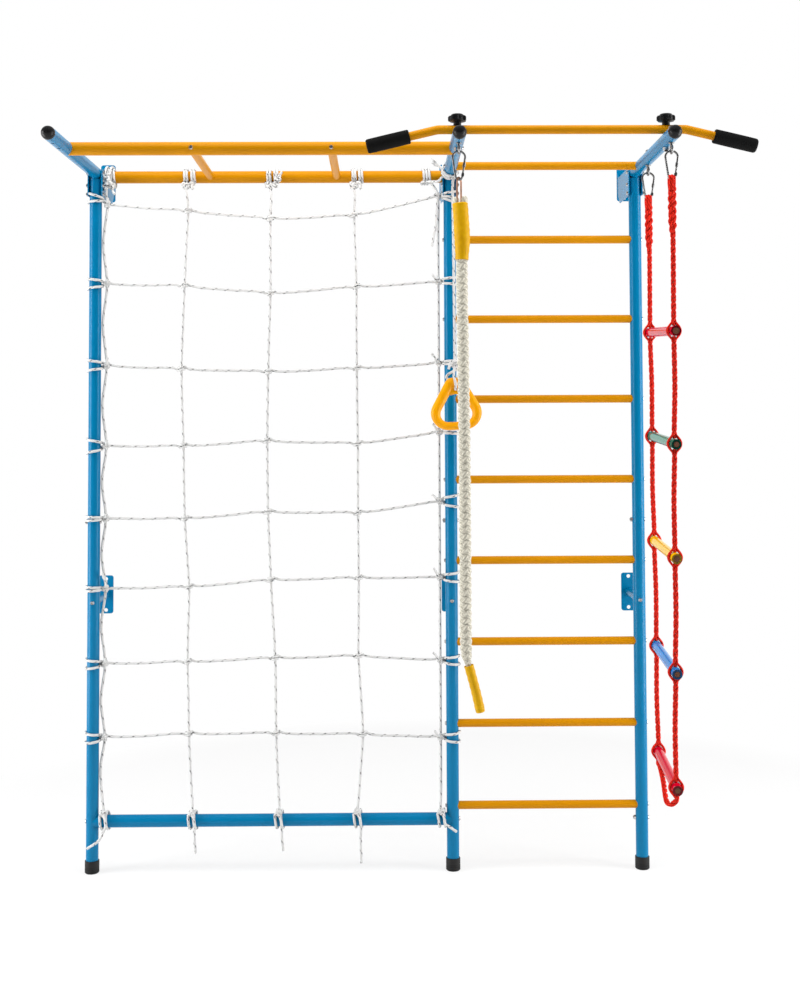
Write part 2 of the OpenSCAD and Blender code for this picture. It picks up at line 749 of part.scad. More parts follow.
// Star knobs that clamp the pull-up bar onto the arms
module knob(side) {
    x = side == 0 ? 0 : right_bay;
    scallop_d = 3.1 * knob_d / knob_lobes;
    crown_r = knob_d * 0.33;
    color(black) translate([x, -pull_bar_at, knob_z]) {
        cylinder(d = knob_neck_d, h = knob_neck_h + 1);
        translate([0, 0, knob_neck_h]) difference() {
            rotate_extrude() polygon([
                [0, 0], [knob_neck_d / 2, 0], [knob_d / 2 - 2, 3], [knob_d / 2, 5], [knob_d / 2, knob_h - 8],
                [knob_d / 2 - 2, knob_h - 5], [crown_r + 2, knob_h - 4], [crown_r - 1, knob_h], [0, knob_h]
            ]);
            for (i = [0:knob_lobes - 1])
                rotate([0, 0, 360 * i / knob_lobes]) translate([knob_d / 2 + scallop_d * 0.28, 0, -1])
                    cylinder(d = scallop_d, h = knob_h + 2);
        }
        stud_len = knob_z - clamp_nut_z + 3;
        translate([0, 0, -stud_len]) cylinder(d = stud_d, h = stud_len + knob_neck_h);
    }
}

module clamp_nuts() {
    color(steel) for (x = [0, right_bay])
        translate([x, -pull_bar_at, clamp_nut_z]) difference() {
            cylinder(d = clamp_nut_d, h = clamp_nut_h, $fn = 6);
            translate([0, 0, -1]) cylinder(d = stud_d + 2 * pin_gap, h = clamp_nut_h + 2);
        }
}

// Eye bolts through the arms, with the eye across the wall
module eye_bolt() {
    translate([0, 0, eye_z]) rotate([0, 90, 0]) rotate_extrude() translate([eye_r, 0]) circle(d = eye_wire);
    translate([0, 0, arm_under - seat_gap - 2]) cylinder(d = 16, h = 2);
    shank_low = eye_z + eye_r;
    shank_top = arm_z + post_r + bolt_nut_h + 2;
    translate([0, 0, shank_low]) cylinder(d = bolt_d, h = shank_top - shank_low);
    translate([0, 0, arm_z + post_r + seat_gap]) cylinder(d = bolt_nut_d, h = bolt_nut_h, $fn = 6);
}

module eye_bolts() {
    color(steel) {
        translate([0, -front_hook_at, 0]) eye_bolt();
        translate([right_bay, -front_hook_at, 0]) eye_bolt();
        translate([right_bay, -rear_hook_y, 0]) eye_bolt();
    }
}

// Snap carabiners: a pear-shaped wire body and a gate on a hinge pin
module in_gate_limb() { translate(limb_top) rotate([0, limb_lean, 0]) children(); }

module wire_arc(r, from, sweep) {
    rotate([90, 0, 0]) rotate([0, 0, from]) rotate_extrude(angle = sweep)
        translate([r, 0]) circle(d = carabiner_wire);
}

module carabiner_body() {
    wire_arc(carabiner_r, -limb_lean, 180 + 2 * limb_lean);
    translate([0, 0, -carabiner_span]) wire_arc(carabiner_end_r, 180 + limb_lean, 180 - 2 * limb_lean);
    limb_d = carabiner_wire - 2 * limb_step;
    mirror([1, 0, 0]) in_gate_limb() translate([0, 0, -limb_len - limb_bite])
        cylinder(d = limb_d, h = limb_len + 2 * limb_bite);
    ear_gap = tongue_t / 2 + run_gap;
    in_gate_limb() {
        translate([0, 0, -gate_tip + gate_gap]) cylinder(d = limb_d, h = gate_tip - gate_gap + limb_bite);
        translate([0, 0, -limb_len - limb_bite])
            cylinder(d = limb_d, h = limb_len - hinge_at - hinge_stub_gap + limb_bite);
        translate([0, 0, -hinge_at]) {
            for (y = [-ear_gap - hinge_ear_t, ear_gap]) {
                translate([0, y, 0]) along_y() cylinder(d = hinge_ear_d, h = hinge_ear_t);
                translate([-hinge_ear_d / 2, y, -6]) cube([hinge_ear_d, hinge_ear_t, 6]);
            }
            translate([0, -ear_gap - hinge_ear_t, 0]) along_y()
                cylinder(d = hinge_pin_d, h = 2 * (ear_gap + hinge_ear_t));
        }
    }
}

module gate() {
    collar_d = carabiner_wire + 2.5;
    collar_len = 11;
    rod_d = carabiner_wire - 1;
    rod_end = hinge_ear_d / 2 + 0.8;
    in_gate_limb() {
        translate([0, 0, -gate_tip - collar_len]) cylinder(d = collar_d, h = collar_len);
        translate([0, 0, -hinge_at + rod_end]) cylinder(d = rod_d, h = gate_len - collar_len - rod_end + 1);
        translate([0, 0, -hinge_at]) difference() {
            union() {
                translate([0, -tongue_t / 2, 0]) along_y() cylinder(d = hinge_ear_d - 1, h = tongue_t);
                translate([-rod_d / 2, -tongue_t / 2, 0]) cube([rod_d, tongue_t, rod_end + 1]);
            }
            along_y() cylinder(d = hinge_pin_d + 2 * pin_gap, h = 2 * tongue_t, center = true);
        }
    }
}

module at_hook(x, y) { translate([x, -y, carabiner_z]) children(); }

// Climbing rope: thimble, two sleeves and the rope itself
module rope_thimble() {
    leg = thimble_z - rope_top_z - run_gap;
    color(steel) translate([0, -front_hook_at, thimble_z]) rotate([0, 0, thimble_turn]) {
        rotate([90, 0, 0]) rotate_extrude(angle = 180) translate([thimble_r, 0]) circle(d = thimble_wire);
        for (x = [-thimble_r, thimble_r]) translate([x, 0, -leg]) cylinder(d = thimble_wire, h = leg);
    }
}

rope_lower_end = [rope_end_x, 0, rope_end_z];
rope_full = concat(
    rope_route,
    [for (s = [8, 20, lower_sleeve_len - 12]) rope_lower_end + s * lean_way]
);
rope_radii = concat(
    [for (p = rope_route) rope_d / 2 - run_gap],
    [for (s = [1, 2, 3]) rope_core_d / 2 - run_gap]
);

module climbing_rope() {
    color(rope_white) translate([0, -front_hook_at, 0]) swept_tube(rope_full, rope_radii, 12, [[0, 1, 0]]);
}

module upper_sleeve() {
    top_r = upper_sleeve_d / 2;
    bore_r = rope_d / 2 + run_gap;
    color(yellow) translate([0, -front_hook_at, sleeve_top_z]) rotate_extrude() polygon([
        [bore_r, 0], [top_r - 2, 0], [top_r, -2], [top_r, -upper_sleeve_len * 0.8],
        [bore_r + 1.5, -upper_sleeve_len], [bore_r, -upper_sleeve_len]
    ]);
}

module lower_sleeve() {
    r = lower_sleeve_d / 2;
    bore_r = rope_core_d / 2 + run_gap;
    bore_len = lower_sleeve_len - 12 + run_gap;
    color(yellow) translate([rope_end_x, -front_hook_at, rope_end_z]) rotate([0, 180 - lower_sleeve_lean, 0])
        rotate_extrude() polygon([
            [bore_r, 14], [r - 1, 14], [r, 16], [r, lower_sleeve_len - 3],
            [r - 3, lower_sleeve_len], [0, lower_sleeve_len], [0, bore_len], [bore_r, bore_len]
        ]);
}

// Rope ladder: each rope opens round every rung, so a rung sits in a ring of rope
function ladder_turn(i) = ladder_twist * i / (ladder_rungs - 1);

function ladder_ring(i, side) =
    let (reach = side * ladder_half * cos(ladder_slope))
    [
        right_bay + reach * sin(ladder_turn(i)),
        ladder_y + reach * cos(ladder_turn(i)),
        ladder_z[i] + side * ladder_half * sin(ladder_slope)
    ];

module ladder_rung(i) {
    recess = 1.5;
    color(ladder_colours[i - 1]) translate([right_bay, ladder_y, ladder_z[i - 1]])
        rotate([ladder_slope, 0, -ladder_turn(i - 1)]) along_y() difference() {
            translate([0, 0, -ladder_rung_len / 2]) cylinder(d = ladder_rung_d, h = ladder_rung_len);
            for (end = [-1, 1])
                translate([0, 0, end * ladder_rung_len / 2])
                    cylinder(d = ladder_rung_d - 8, h = 2 * recess, center = true);
        }
}

// Doubled rope that hangs on a carabiner and narrows to the single rope
module ladder_splice(y) {
    top = [right_bay, y, end_wire_z];
    turn = [for (a = [0:30:180]) top + eye_strand_r * [0, cos(a), sin(a)]];
    swept_tube(concat([top + [0, eye_strand_r, -24]], turn, [top + [0, -eye_strand_r, -24]]),
        [eye_strand_d / 2], 6, [[1, 0, 0]]);
    low = splice_top_z - splice_len;
    swept_tube(
        [for (z = [splice_top_z, splice_top_z - 10, low + 25, low, low - 12]) [right_bay, y, z]],
        [splice_d * 0.38, splice_d / 2, splice_d / 2, ladder_rope_d / 2 + 1, ladder_rope_d / 2],
        8, [[0, 1, 0]]);
}

module ladder_rope(side) {
    y = side < 0 ? -front_hook_at : -rear_hook_y;
    splice_low = [right_bay, y, splice_top_z - splice_len - 6];
    stops = concat([splice_low], [for (i = [0:ladder_rungs - 1]) ladder_ring(i, side)]);
    neck = [0, 0, strand_r];
    ladder_splice(y);
    for (i = [0:ladder_rungs - 1]) {
        above = i == 0 ? stops[0] : stops[i] - neck;
        below = stops[i + 1] + neck;
        swept_tube([above, (above + below) / 2 + [2, 0, 0], below], [ladder_rope_d / 2], 8, [[0, 1, 0]]);
        translate(stops[i + 1]) rotate([ladder_slope, 0, -ladder_turn(i)])
            rope_loop(strand_r, strand_d / 2, 5, 12);
        throat(stops[i + 1], 1);
        if (i < ladder_rungs - 1) throat(stops[i + 1], -1);
    }
}

// The lump where a rope's strands part above or below a rung
module throat(ring_centre, way) {
    seat = ladder_rung_d / 2 + run_gap + ladder_rope_d / 2;
    hull() {
        translate(ring_centre + [0, 0, way * seat]) sphere(d = ladder_rope_d - 1, $fn = 5);
        translate(ring_centre + [0, 0, way * (seat + 6)]) sphere(d = ladder_rope_d + 1, $fn = 5);
    }
}

module ladder_rope_front() {
    color(rope_red) ladder_rope(-1);
}

// The rear rope runs on below the last rung and comes back up to the front in a slack loop
module ladder_rope_rear() {
    first = ladder_ring(ladder_rungs - 1, 1);
    last = ladder_ring(ladder_rungs - 1, -1);
    drop = strand_r + strand_d / 2;
    loop_route = [
        first + [0, 0, -strand_r], first + [1, -8, -drop - 10], first + [0, -40, -drop - 22],
        first + [-4, -100, -drop - 34], first + [-8, -160, -drop - 46], first + [-10, -220, -drop - 57],
        last + [-10, 48, -drop - 45], last + [-6, 16, -drop - 35], last + [-2, 2, -drop - 18],
        last + [0, 0, -drop - 1]
    ];
    color(rope_red) {
        ladder_rope(1);
        swept_tube(loop_route, [ladder_rope_d / 2 - 1], 8, [[1, 0, 0]]);
    }
}

// Hand ring: a round bar bent to a stirrup, with a web and a rope hole at its apex
module ring_corner_arc() {
    translate([ring_corner_x, 0, 0]) rotate([90, 0, 0]) rotate([0, 0, -90])
        rotate_extrude(angle = 90 + ring_limb_turn) translate([ring_corner, 0]) circle(d = ring_section);
}

module ring_limb() {
    foot = [ring_corner_x + ring_corner * cos(ring_limb_turn), 0, ring_corner * sin(ring_limb_turn)];
    rise = [-foot[0], 0, ring_apex_z - foot[2]];
    translate(foot) rotate([0, atan2(rise[0], rise[2]), 0]) translate([0, 0, -limb_bite])
        cylinder(d = ring_section - 2 * limb_step, h = norm(rise) + limb_bite);
}

module hand_ring() {
    web_half = ring_corner_x * (ring_apex_z - ring_web_z) / ring_apex_z + 16;
    color(yellow) translate([ring_x, -ring_y, ring_z]) translate([0, 0, ring_apex_z])
        rotate([0, -ring_tilt, 0]) translate([0, 0, -ring_apex_z]) difference() {
            union() {
                translate([-ring_corner_x - limb_bite, 0, -ring_corner]) along_x()
                    cylinder(d = ring_section - 2 * limb_step, h = 2 * ring_corner_x + 2 * limb_bite);
                for (flip = [0, 1]) mirror([flip, 0, 0]) {
                    ring_corner_arc();
                    ring_limb();
                }
                translate([0, 0, ring_apex_z]) sphere(d = ring_section);
                rotate([90, 0, 0]) linear_extrude(ring_web_t, center = true)
                    polygon([[-web_half, ring_web_z], [web_half, ring_web_z], [0, ring_apex_z]]);
            }
            translate([0, 0, ring_hole_z]) along_y()
                cylinder(d = ring_hole_d, h = 2 * ring_section, center = true);
        }
}

// The ring's rope winds round the middle arm, drops and threads the ring's hole
ring_rope_route = concat(
    wound([0, 0, arm_z], [0, 1, 0], [0, 0, -1], coil_r, wrap_turns, wrap_pitch, coil_steps),
    ring_rope_drop
);
ring_rope_ways = concat(
    [for (i = [0:wrap_turns * coil_steps]) [0, 1, 0]],
    [for (a = [0:15:90]) [sin(a), cos(a), 0]]
);

module ring_rope() {
    color(rope_white) translate([0, -ring_y, 0])
        swept_tube(ring_rope_route, [net_d / 2], 6, ring_rope_ways);
}

// Climbing net: ropes down the bay, knotted to rows that are lashed round the posts
function column_x(j, z) =
    let (base = -left_bay + net_inset + j * (left_bay - 2 * net_inset) / (net_columns - 1))
    let (sway = net_sway * sin(360 * (z - post_h * 0.45) / (post_h * 1.1)) + net_d * 0.75)
    j % (net_columns - 1) == 0 ? base : base - sway;

function knot_at(i, j) = [column_x(j, net_heights[i][j]), 0, net_heights[i][j]];

function row_route(i) = concat(
    [[-left_bay + wrap_r, 0, net_heights[i][0]]],
    [for (j = [0:net_columns - 1]) knot_at(i, j)],
    [[-wrap_r, 0, net_heights[i][net_columns - 1]]]
);

function column_route(j) = concat(
    [[column_x(j, rear_bar_z), rear_bar_y - wrap_r, rear_bar_z]],
    [[column_x(j, rear_bar_z), 6, rear_bar_z - rear_bar_y - 30]],
    [for (i = [0:len(net_heights) - 1]) knot_at(i, j)],
    [
        [column_x(j, bottom_bar_z), -wrap_r / 2, bottom_bar_z + 2 * post_d],
        [column_x(j, bottom_bar_z), -wrap_r, bottom_bar_z]
    ]
);

module net_rope(route, side_way) { swept_tube(route, [net_d * 0.55], 4, [side_way]); }

// A lashing of two turns round a bar or a post
function lashing_route(centre, axis, start) =
    wound(centre, axis, start, wrap_r, wrap_turns, wrap_pitch, wrap_steps);

module net_lashing(centre, axis, start) {
    swept_tube(lashing_route(centre, axis, start), [net_d / 2], 4, [axis]);
}

module net_knot(at) {
    hull() for (s = [-1, 1])
        translate(at + s * [3, 0, 3]) sphere(d = knot_d, $fn = 4);
}

module net_tails() {
    b = bottom_bar_z;
    for (j = [1:net_columns - 2]) {
        x = column_x(j, b) + 2;
        net_tail(x, b, [[0, 0, -0.5], [0.6, 0, -5], [1.4, 0, -8], [1.9, 0.25, -11.25]]);
    }
    net_tail(-left_bay + net_inset, b, [[0, 0, -0.6], [-1, 0, -4.4], [-3.75, 0, -7.1], [-6, 0, -9.1]]);
    net_tail(-net_inset, b, [[0, 0.5, 3.1], [2, 0, 1.25], [4.1, 0, -1.6], [5.75, 0, -3.75]]);
}

// A loose rope end in front of the bar, its route given in rope diameters
module net_tail(x, z, route) {
    net_rope([for (p = route) [x, -wrap_r - 1, z] + net_d * p], [0, 1, 0]);
}

module climbing_net() {
    color(rope_white) {
        for (i = [0:len(net_heights) - 1]) {
            net_rope(row_route(i), [0, 1, 0]);
            for (j = [1:net_columns - 2]) net_knot(knot_at(i, j));
            net_lashing([-left_bay, 0, net_heights[i][0]], [0, 0, 1], [1, 0, 0]);
            net_lashing([0, 0, net_heights[i][net_columns - 1]], [0, 0, 1], [-1, 0, 0]);
        }
        for (j = [0:net_columns - 1]) {
            net_rope(column_route(j), [0, 1, 0]);
            net_lashing([column_x(j, rear_bar_z), rear_bar_y, rear_bar_z], [1, 0, 0], [0, -1, 0]);
            net_lashing([column_x(j, bottom_bar_z), 0, bottom_bar_z], [1, 0, 0], [0, -1, 0]);
        }
        net_tails();
    }
}

echo(ring_rope_gap = least_gap(ring_rope_route, net_d));
echo(lashing_gap = least_gap(lashing_route([0, 0, 0], [0, 0, 1], [1, 0, 0]), net_d));

sides = ["left", "middle", "right"];
for (i = [0:2]) {
    post_lower(i);
    post_upper(i);
    arm(i);
    top_bracket(i);
    mid_bracket(i);
}
for (i = [1:rung_count]) rung(i);
for (i = [1:ladder_rungs]) ladder_rung(i);
post_feet();
top_rung();
arm_caps();
front_bar();
rear_bar();
bottom_bar();
monkey_rung(0);  // left_monkey_rung
monkey_rung(1);  // right_monkey_rung
frame_bolts();
pull_up_bar();
grip(0);  // left_grip
grip(1);  // right_grip
knob(0);  // left_knob
knob(1);  // right_knob
clamp_nuts();
eye_bolts();
color(steel) at_hook(0, front_hook_at) carabiner_body();  // rope_carabiner
color(steel) at_hook(0, front_hook_at) gate();  // rope_gate
rope_thimble();
climbing_rope();
upper_sleeve();
lower_sleeve();
color(steel) at_hook(right_bay, front_hook_at) carabiner_body();  // ladder_front_carabiner
color(steel) at_hook(right_bay, front_hook_at) gate();  // ladder_front_gate
color(steel) at_hook(right_bay, rear_hook_y) carabiner_body();  // ladder_rear_carabiner
color(steel) at_hook(right_bay, rear_hook_y) gate();  // ladder_rear_gate
ladder_rope_front();
ladder_rope_rear();
hand_ring();
ring_rope();
climbing_net();
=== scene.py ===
# %% [markdown]
# # A wall gym for small children
# The gym is a steel frame that screws to a wall: three blue posts, yellow rungs, a knotted net and
# arms that carry a pull-up bar, a climbing rope, a hand ring and a rope ladder. The rigid pieces come
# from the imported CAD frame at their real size. Blender adds what CAD can't show well: twisted and
# braided rope, knots, soft grips and the finish of each surface.

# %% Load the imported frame
import math

import bpy
import numpy as np
from mathutils import Matrix, Vector


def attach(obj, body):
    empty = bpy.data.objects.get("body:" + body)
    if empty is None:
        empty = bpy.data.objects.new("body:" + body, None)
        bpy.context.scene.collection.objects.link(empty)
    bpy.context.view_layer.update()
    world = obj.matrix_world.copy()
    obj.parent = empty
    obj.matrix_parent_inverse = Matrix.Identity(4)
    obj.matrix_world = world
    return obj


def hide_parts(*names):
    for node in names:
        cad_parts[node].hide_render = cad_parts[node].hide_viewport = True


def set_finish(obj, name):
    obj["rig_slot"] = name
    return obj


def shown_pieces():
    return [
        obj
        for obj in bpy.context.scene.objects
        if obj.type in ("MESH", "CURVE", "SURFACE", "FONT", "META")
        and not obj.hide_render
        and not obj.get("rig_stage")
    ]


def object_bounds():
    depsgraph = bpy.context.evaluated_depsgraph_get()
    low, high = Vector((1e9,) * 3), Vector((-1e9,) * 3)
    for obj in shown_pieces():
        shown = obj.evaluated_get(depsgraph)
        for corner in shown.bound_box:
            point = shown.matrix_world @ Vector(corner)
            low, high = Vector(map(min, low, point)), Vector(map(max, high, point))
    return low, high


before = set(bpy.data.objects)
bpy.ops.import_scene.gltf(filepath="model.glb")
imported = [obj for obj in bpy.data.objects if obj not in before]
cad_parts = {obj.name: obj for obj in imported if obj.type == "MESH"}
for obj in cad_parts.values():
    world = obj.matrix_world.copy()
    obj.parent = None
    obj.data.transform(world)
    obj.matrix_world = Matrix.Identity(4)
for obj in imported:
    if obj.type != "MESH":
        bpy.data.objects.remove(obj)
cad_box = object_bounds()
scene = bpy.context.scene
MM = 0.001
print(len(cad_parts), "nodes in a box of", [round(x, 3) for x in cad_box[1] - cad_box[0]], "m")

# %% [markdown]
# ## Camera
# The photograph was taken about 4 m in front of the posts, from a little left of the middle and
# 1.38 m up. The lens looks almost level, and its axis lies above the middle of the picture. So the
# camera gets a shift instead of a downward tilt: a tilt would make the posts lean together, and in the
# photograph they stay upright.

# %% Camera at the photograph's place
FOCAL_PX, AXIS_PX, FRAME_PX, SENSOR = 1281.6, 366.5, 1000, 36
CAMERA_AT = (-0.2014, -4.0, 1.3844)
pitch, yaw, roll = (math.radians(x) for x in (2.357, 0.629, 0.234))
eye = bpy.data.cameras.new("eye")
eye.sensor_width = SENSOR
eye.lens = SENSOR * FOCAL_PX / FRAME_PX
eye.shift_y = (AXIS_PX - FRAME_PX / 2) / FRAME_PX
eye.clip_end = 60
camera = bpy.data.objects.new("camera", eye)
camera.matrix_world = (
    Matrix.Translation(CAMERA_AT)
    @ Matrix.Rotation(-yaw, 4, "Z")
    @ Matrix.Rotation(math.pi / 2 + pitch, 4, "X")
    @ Matrix.Rotation(-roll, 4, "Z")
)
scene.collection.objects.link(camera)
scene.camera = camera
print("lens", round(eye.lens, 2), "mm, shift", eye.shift_y)

# %% [markdown]
# ## Lines for ropes
# Every rope here starts as a few points that it must pass. A Hermite curve through them, cut into
# even steps, gives a line that bends like rope. A tube then needs a frame at each step that doesn't
# spin about the line, or the rope would look wrung. Carrying the last side vector on to the next step
# and straightening it there does that. Curve objects could do the same, but a mesh lets each strand
# keep its length along the rope as a UV, and the weave is drawn from that.

# %% Smooth lines
TAU = 2 * math.pi


def run_of(line):
    return np.concatenate([[0], np.cumsum(np.linalg.norm(np.diff(line, axis=0), axis=1))])


def evenly(line, step):
    run = run_of(line)
    at = np.linspace(0, run[-1], max(3, round(run[-1] / step) + 1))
    return np.stack([np.interp(at, run, line[:, k]) for k in range(3)], axis=1)


def smooth(points, step):
    p = np.array(points, float)
    t = np.concatenate([[0], np.cumsum(np.sqrt(np.linalg.norm(np.diff(p, axis=0), axis=1)))])
    m = np.gradient(p, t, axis=0)
    q = np.linspace(0, t[-1], 30 * len(p))
    i = np.clip(np.searchsorted(t, q, "right") - 1, 0, len(p) - 2)
    h = (t[i + 1] - t[i])[:, None]
    u = (q - t[i])[:, None] / h
    line = (2 * u**3 - 3 * u**2 + 1) * p[i] + (u**3 - 2 * u**2 + u) * h * m[i]
    line += (3 * u**2 - 2 * u**3) * p[i + 1] + (u**3 - u**2) * h * m[i + 1]
    return evenly(line, step)


corner = smooth([(0, 0, 0), (50, 0, 0), (50, 0, 50)], 1)
print("a line round one 50 mm corner is", round(run_of(corner)[-1], 1), "mm long")


# %% Steady frames
def unit(v):
    return v / np.maximum(np.linalg.norm(v, axis=-1, keepdims=True), 1e-12)


def steady_sides(line):
    t = unit(np.gradient(line, axis=0))
    n = np.zeros_like(t)
    n[0] = np.cross(t[0], np.eye(3)[np.argmin(np.abs(t[0]))])
    for i in range(len(t)):
        v = n[max(i - 1, 0)]
        n[i] = unit(v - t[i] * (v @ t[i]))
    return t, n, np.cross(t, n)


print("its frame starts with the side", steady_sides(corner)[1][0].round(2))


# %% Tubes with their length and turn as UVs
def band(lengths, sides):
    rows = np.arange(len(lengths) - 1)
    i, k = (x.ravel() for x in np.meshgrid(rows, np.arange(sides), indexing="ij"))
    corners = ((0, 0), (0, 1), (1, 1), (1, 0))
    quads = np.stack([(i + di) * sides + (k + dk) % sides for di, dk in corners], 1)
    uv = np.stack([np.stack([lengths[i + di], (k + dk) / sides], 1) for di, dk in corners], 1)
    return quads, uv


def tube(line, radius, sides=8, normals=None, flat=1.0, caps=True):
    t, n, b = steady_sides(line)
    if normals is not None:
        n = unit(normals - t * (normals * t).sum(1, keepdims=True))
        b = np.cross(t, n)
    r = np.broadcast_to(np.asarray(radius, float), len(line))[:, None, None]
    a = np.arange(sides) * TAU / sides
    ring = flat * np.cos(a)[:, None] * n[:, None] + np.sin(a)[:, None] * b[:, None]
    s = run_of(line)
    quads, uv = band(s, sides)
    last = (len(line) - 1) * sides
    ends = [list(range(sides))[::-1], list(range(last, last + sides))] if caps else []
    verts = (line[:, None] + r * ring).reshape(-1, 3)
    return {"verts": verts, "quads": quads, "uv": uv, "ends": ends, "end_s": (s[0], s[-1])}


print("a tube round it has", len(tube(corner, 4)["quads"]), "quads")


# %% One mesh from several tubes
def piece(name, tubes, body, slot):
    verts, faces, uvs, start = [], [], [], 0
    for part in tubes:
        verts.append(part["verts"])
        # each tube's quads come before its end caps, and the UVs follow the same order
        faces += (part["quads"] + start).tolist()
        uvs.append(part["uv"].reshape(-1, 2))
        for ring, s in zip(part["ends"], part["end_s"]):
            faces.append([v + start for v in ring])
            uvs.append(np.stack([np.full(len(ring), s), np.arange(len(ring)) / len(ring)], 1))
        start += len(part["verts"])
    mesh = bpy.data.meshes.new(name)
    mesh.from_pydata(np.concatenate(verts).tolist(), [], faces)
    corners = np.concatenate(uvs).astype(np.float32)
    mesh.uv_layers.new(name="rope").data.foreach_set("uv", corners.ravel())
    mesh.polygons.foreach_set("use_smooth", np.ones(len(mesh.polygons), bool))
    ob = bpy.data.objects.new(name, mesh)
    scene.collection.objects.link(ob)
    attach(ob, body)
    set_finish(ob, slot)
    print(name, len(mesh.polygons), "faces on", body)
    return ob


# %% [markdown]
# ## Climbing rope
# The thick rope is braided: four strands wind one way and four the other, each passing over and under
# in turn. One cosine of the length lifts one set while it lowers the other, which is all a braid
# needs. A bump map alone would look flat at this thickness, so each strand is a tube of its own. Its
# upper end is doubled round a wire thimble inside a yellow sleeve, and its lower end is drawn thinner
# into a second sleeve. The photograph shows it from end to end.

# %% Line of the climbing rope
HOOK_Y, ROPE_D, ROPE_TOP, ROPE_END = -525, 34, 1967.6, 735.6
TIP_X, LEAN = 15, math.radians(14)
BOW_AT = (0, 0.06, 0.12, 0.2, 0.3, 0.4, 0.5, 0.6, 1)
BOW_X = (2, 5.5, 6.3, 6.3, 8, 8.9, 10.4, 11, 11)

rope_points = [(float(np.interp(s, BOW_AT, BOW_X)), HOOK_Y, ROPE_TOP + s * (ROPE_END - ROPE_TOP))
               for s in np.arange(0, 0.93, 0.06)]
rope_points += [(x, HOOK_Y, ROPE_END + z) for x, z in ((BOW_X[-1], 60), (12, 30), (13, 12))]
rope_points += [(TIP_X + s * math.sin(LEAN), HOOK_Y, ROPE_END - s * math.cos(LEAN))
                for s in (8, 20, 70, 130)]
rope_line = smooth(rope_points, 3.2) * MM
print("climbing rope", round(run_of(rope_line)[-1], 3), "m")

# %% Braided climbing rope
CARRIERS, BRAID_PITCH = 4, 0.075
STRAND_HALF_W, STRAND_HALF_T, STRAND_LIFT = 6.7 * MM, 4.2 * MM, 1.5 * MM


def braid(line, shape):
    _, n, b = steady_sides(line)
    s = run_of(line)
    parts = []
    for way in (1, -1):
        for k in range(CARRIERS):
            a = way * TAU * s / BRAID_PITCH + TAU * k / CARRIERS
            out = np.cos(a)[:, None] * n + np.sin(a)[:, None] * b
            weave = way * STRAND_LIFT * np.cos(TAU * CARRIERS * s / BRAID_PITCH)
            r = np.maximum(shape - STRAND_HALF_T - STRAND_LIFT + weave, 0.001)
            wide = STRAND_HALF_W * shape / shape.max()
            parts.append(tube(line + r[:, None] * out, wide, 8, out, STRAND_HALF_T / STRAND_HALF_W))
    return parts


along = run_of(rope_line)
waist = np.interp(along[-1] - along, [0, 0.118, 0.138, 0.165], [9.5, 9.5, 15, 17]) * MM
waist *= np.interp(along, [0, 0.012, 0.03], [0.8, 0.97, 1.0])
rope_parts = [*braid(rope_line, waist), tube(rope_line, waist * 0.66, 10)]
climbing_rope = piece("climbing_rope_braid", rope_parts, "climbing_rope", "braided_rope")
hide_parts("climbing_rope")

# %% [markdown]
# ## Sleeves of the climbing rope
# Both sleeves are soft yellow plastic that was shrunk over the rope, so the braid shows through as
# shallow lumps. A lathe profile with the braid's own lumps pushed into it gives that. The lower one
# leans to the right, as the rope's stiff end does in the photograph.

# %% Upper sleeve
SLEEVE_SIDES, HEM, LIP = 40, 6, 0.0004
SLEEVE_TOP, SLEEVE_LEN = 1973, 156


def shrunk_sleeve(line, radius, wall, lump, closed_end):
    t, n, b = steady_sides(line)
    s = run_of(line)
    a = np.arange(SLEEVE_SIDES) * TAU / SLEEVE_SIDES
    helix = TAU * s / BRAID_PITCH
    lumps = sum(np.cos(CARRIERS * (a[None] - way * helix[:, None])) for way in (1, -1)) * lump
    crease = 0.35 * lump * np.sin(3 * a[None] + 40 * s[:, None]) * np.sin(90 * s[:, None] + 1)
    r = (radius[:, None] + lumps + crease)[..., None]
    out = np.cos(a)[None, :, None] * n[:, None] + np.sin(a)[None, :, None] * b[:, None]
    outer, inner = line[:, None] + r * out, line[:, None] + (r - wall) * out
    rows = [inner[HEM], inner[0] + t[0] * LIP, *outer]
    if closed_end:
        tip = line[-1] + t[-1] * 0.0015
        rows += [tip + (outer[-1] - line[-1]) * share - t[-1] * dent
                 for share, dent in ((0.86, 0.0), (0.6, 0.0), (0.5, 0.002))]
    else:
        rows += [inner[-1] - t[-1] * LIP, inner[-HEM - 1]]
    s = run_of(np.array([row.mean(0) for row in rows]))
    quads, uv = band(s, SLEEVE_SIDES)
    last = (len(rows) - 1) * SLEEVE_SIDES
    ends = [list(range(last, last + SLEEVE_SIDES))] if closed_end else []
    return {"verts": np.concatenate(rows), "quads": quads, "uv": uv, "ends": ends, "end_s": (s[-1],)}


share = np.linspace(0, 1, 55)
sleeve_x = np.interp(share, [0, 0.25, 0.57, 0.75, 1], [2.2, 5.2, 7.6, 7.8, 6.4])
sleeve_line = np.stack([sleeve_x, np.full(55, HOOK_Y), SLEEVE_TOP - SLEEVE_LEN * share], 1) * MM
sleeve_r = np.interp(share, [0, 0.02, 0.23, 0.55, 0.72, 0.88, 1],
                     [20.4, 21.4, 21, 21.7, 20.6, 18.8, 17.8]) * MM
sleeve = shrunk_sleeve(sleeve_line, sleeve_r, 1.2 * MM, 0.22 * MM, False)
upper_sleeve = piece("upper_sleeve_shrunk", [sleeve], "climbing_rope", "yellow_sleeve")
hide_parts("upper_sleeve")

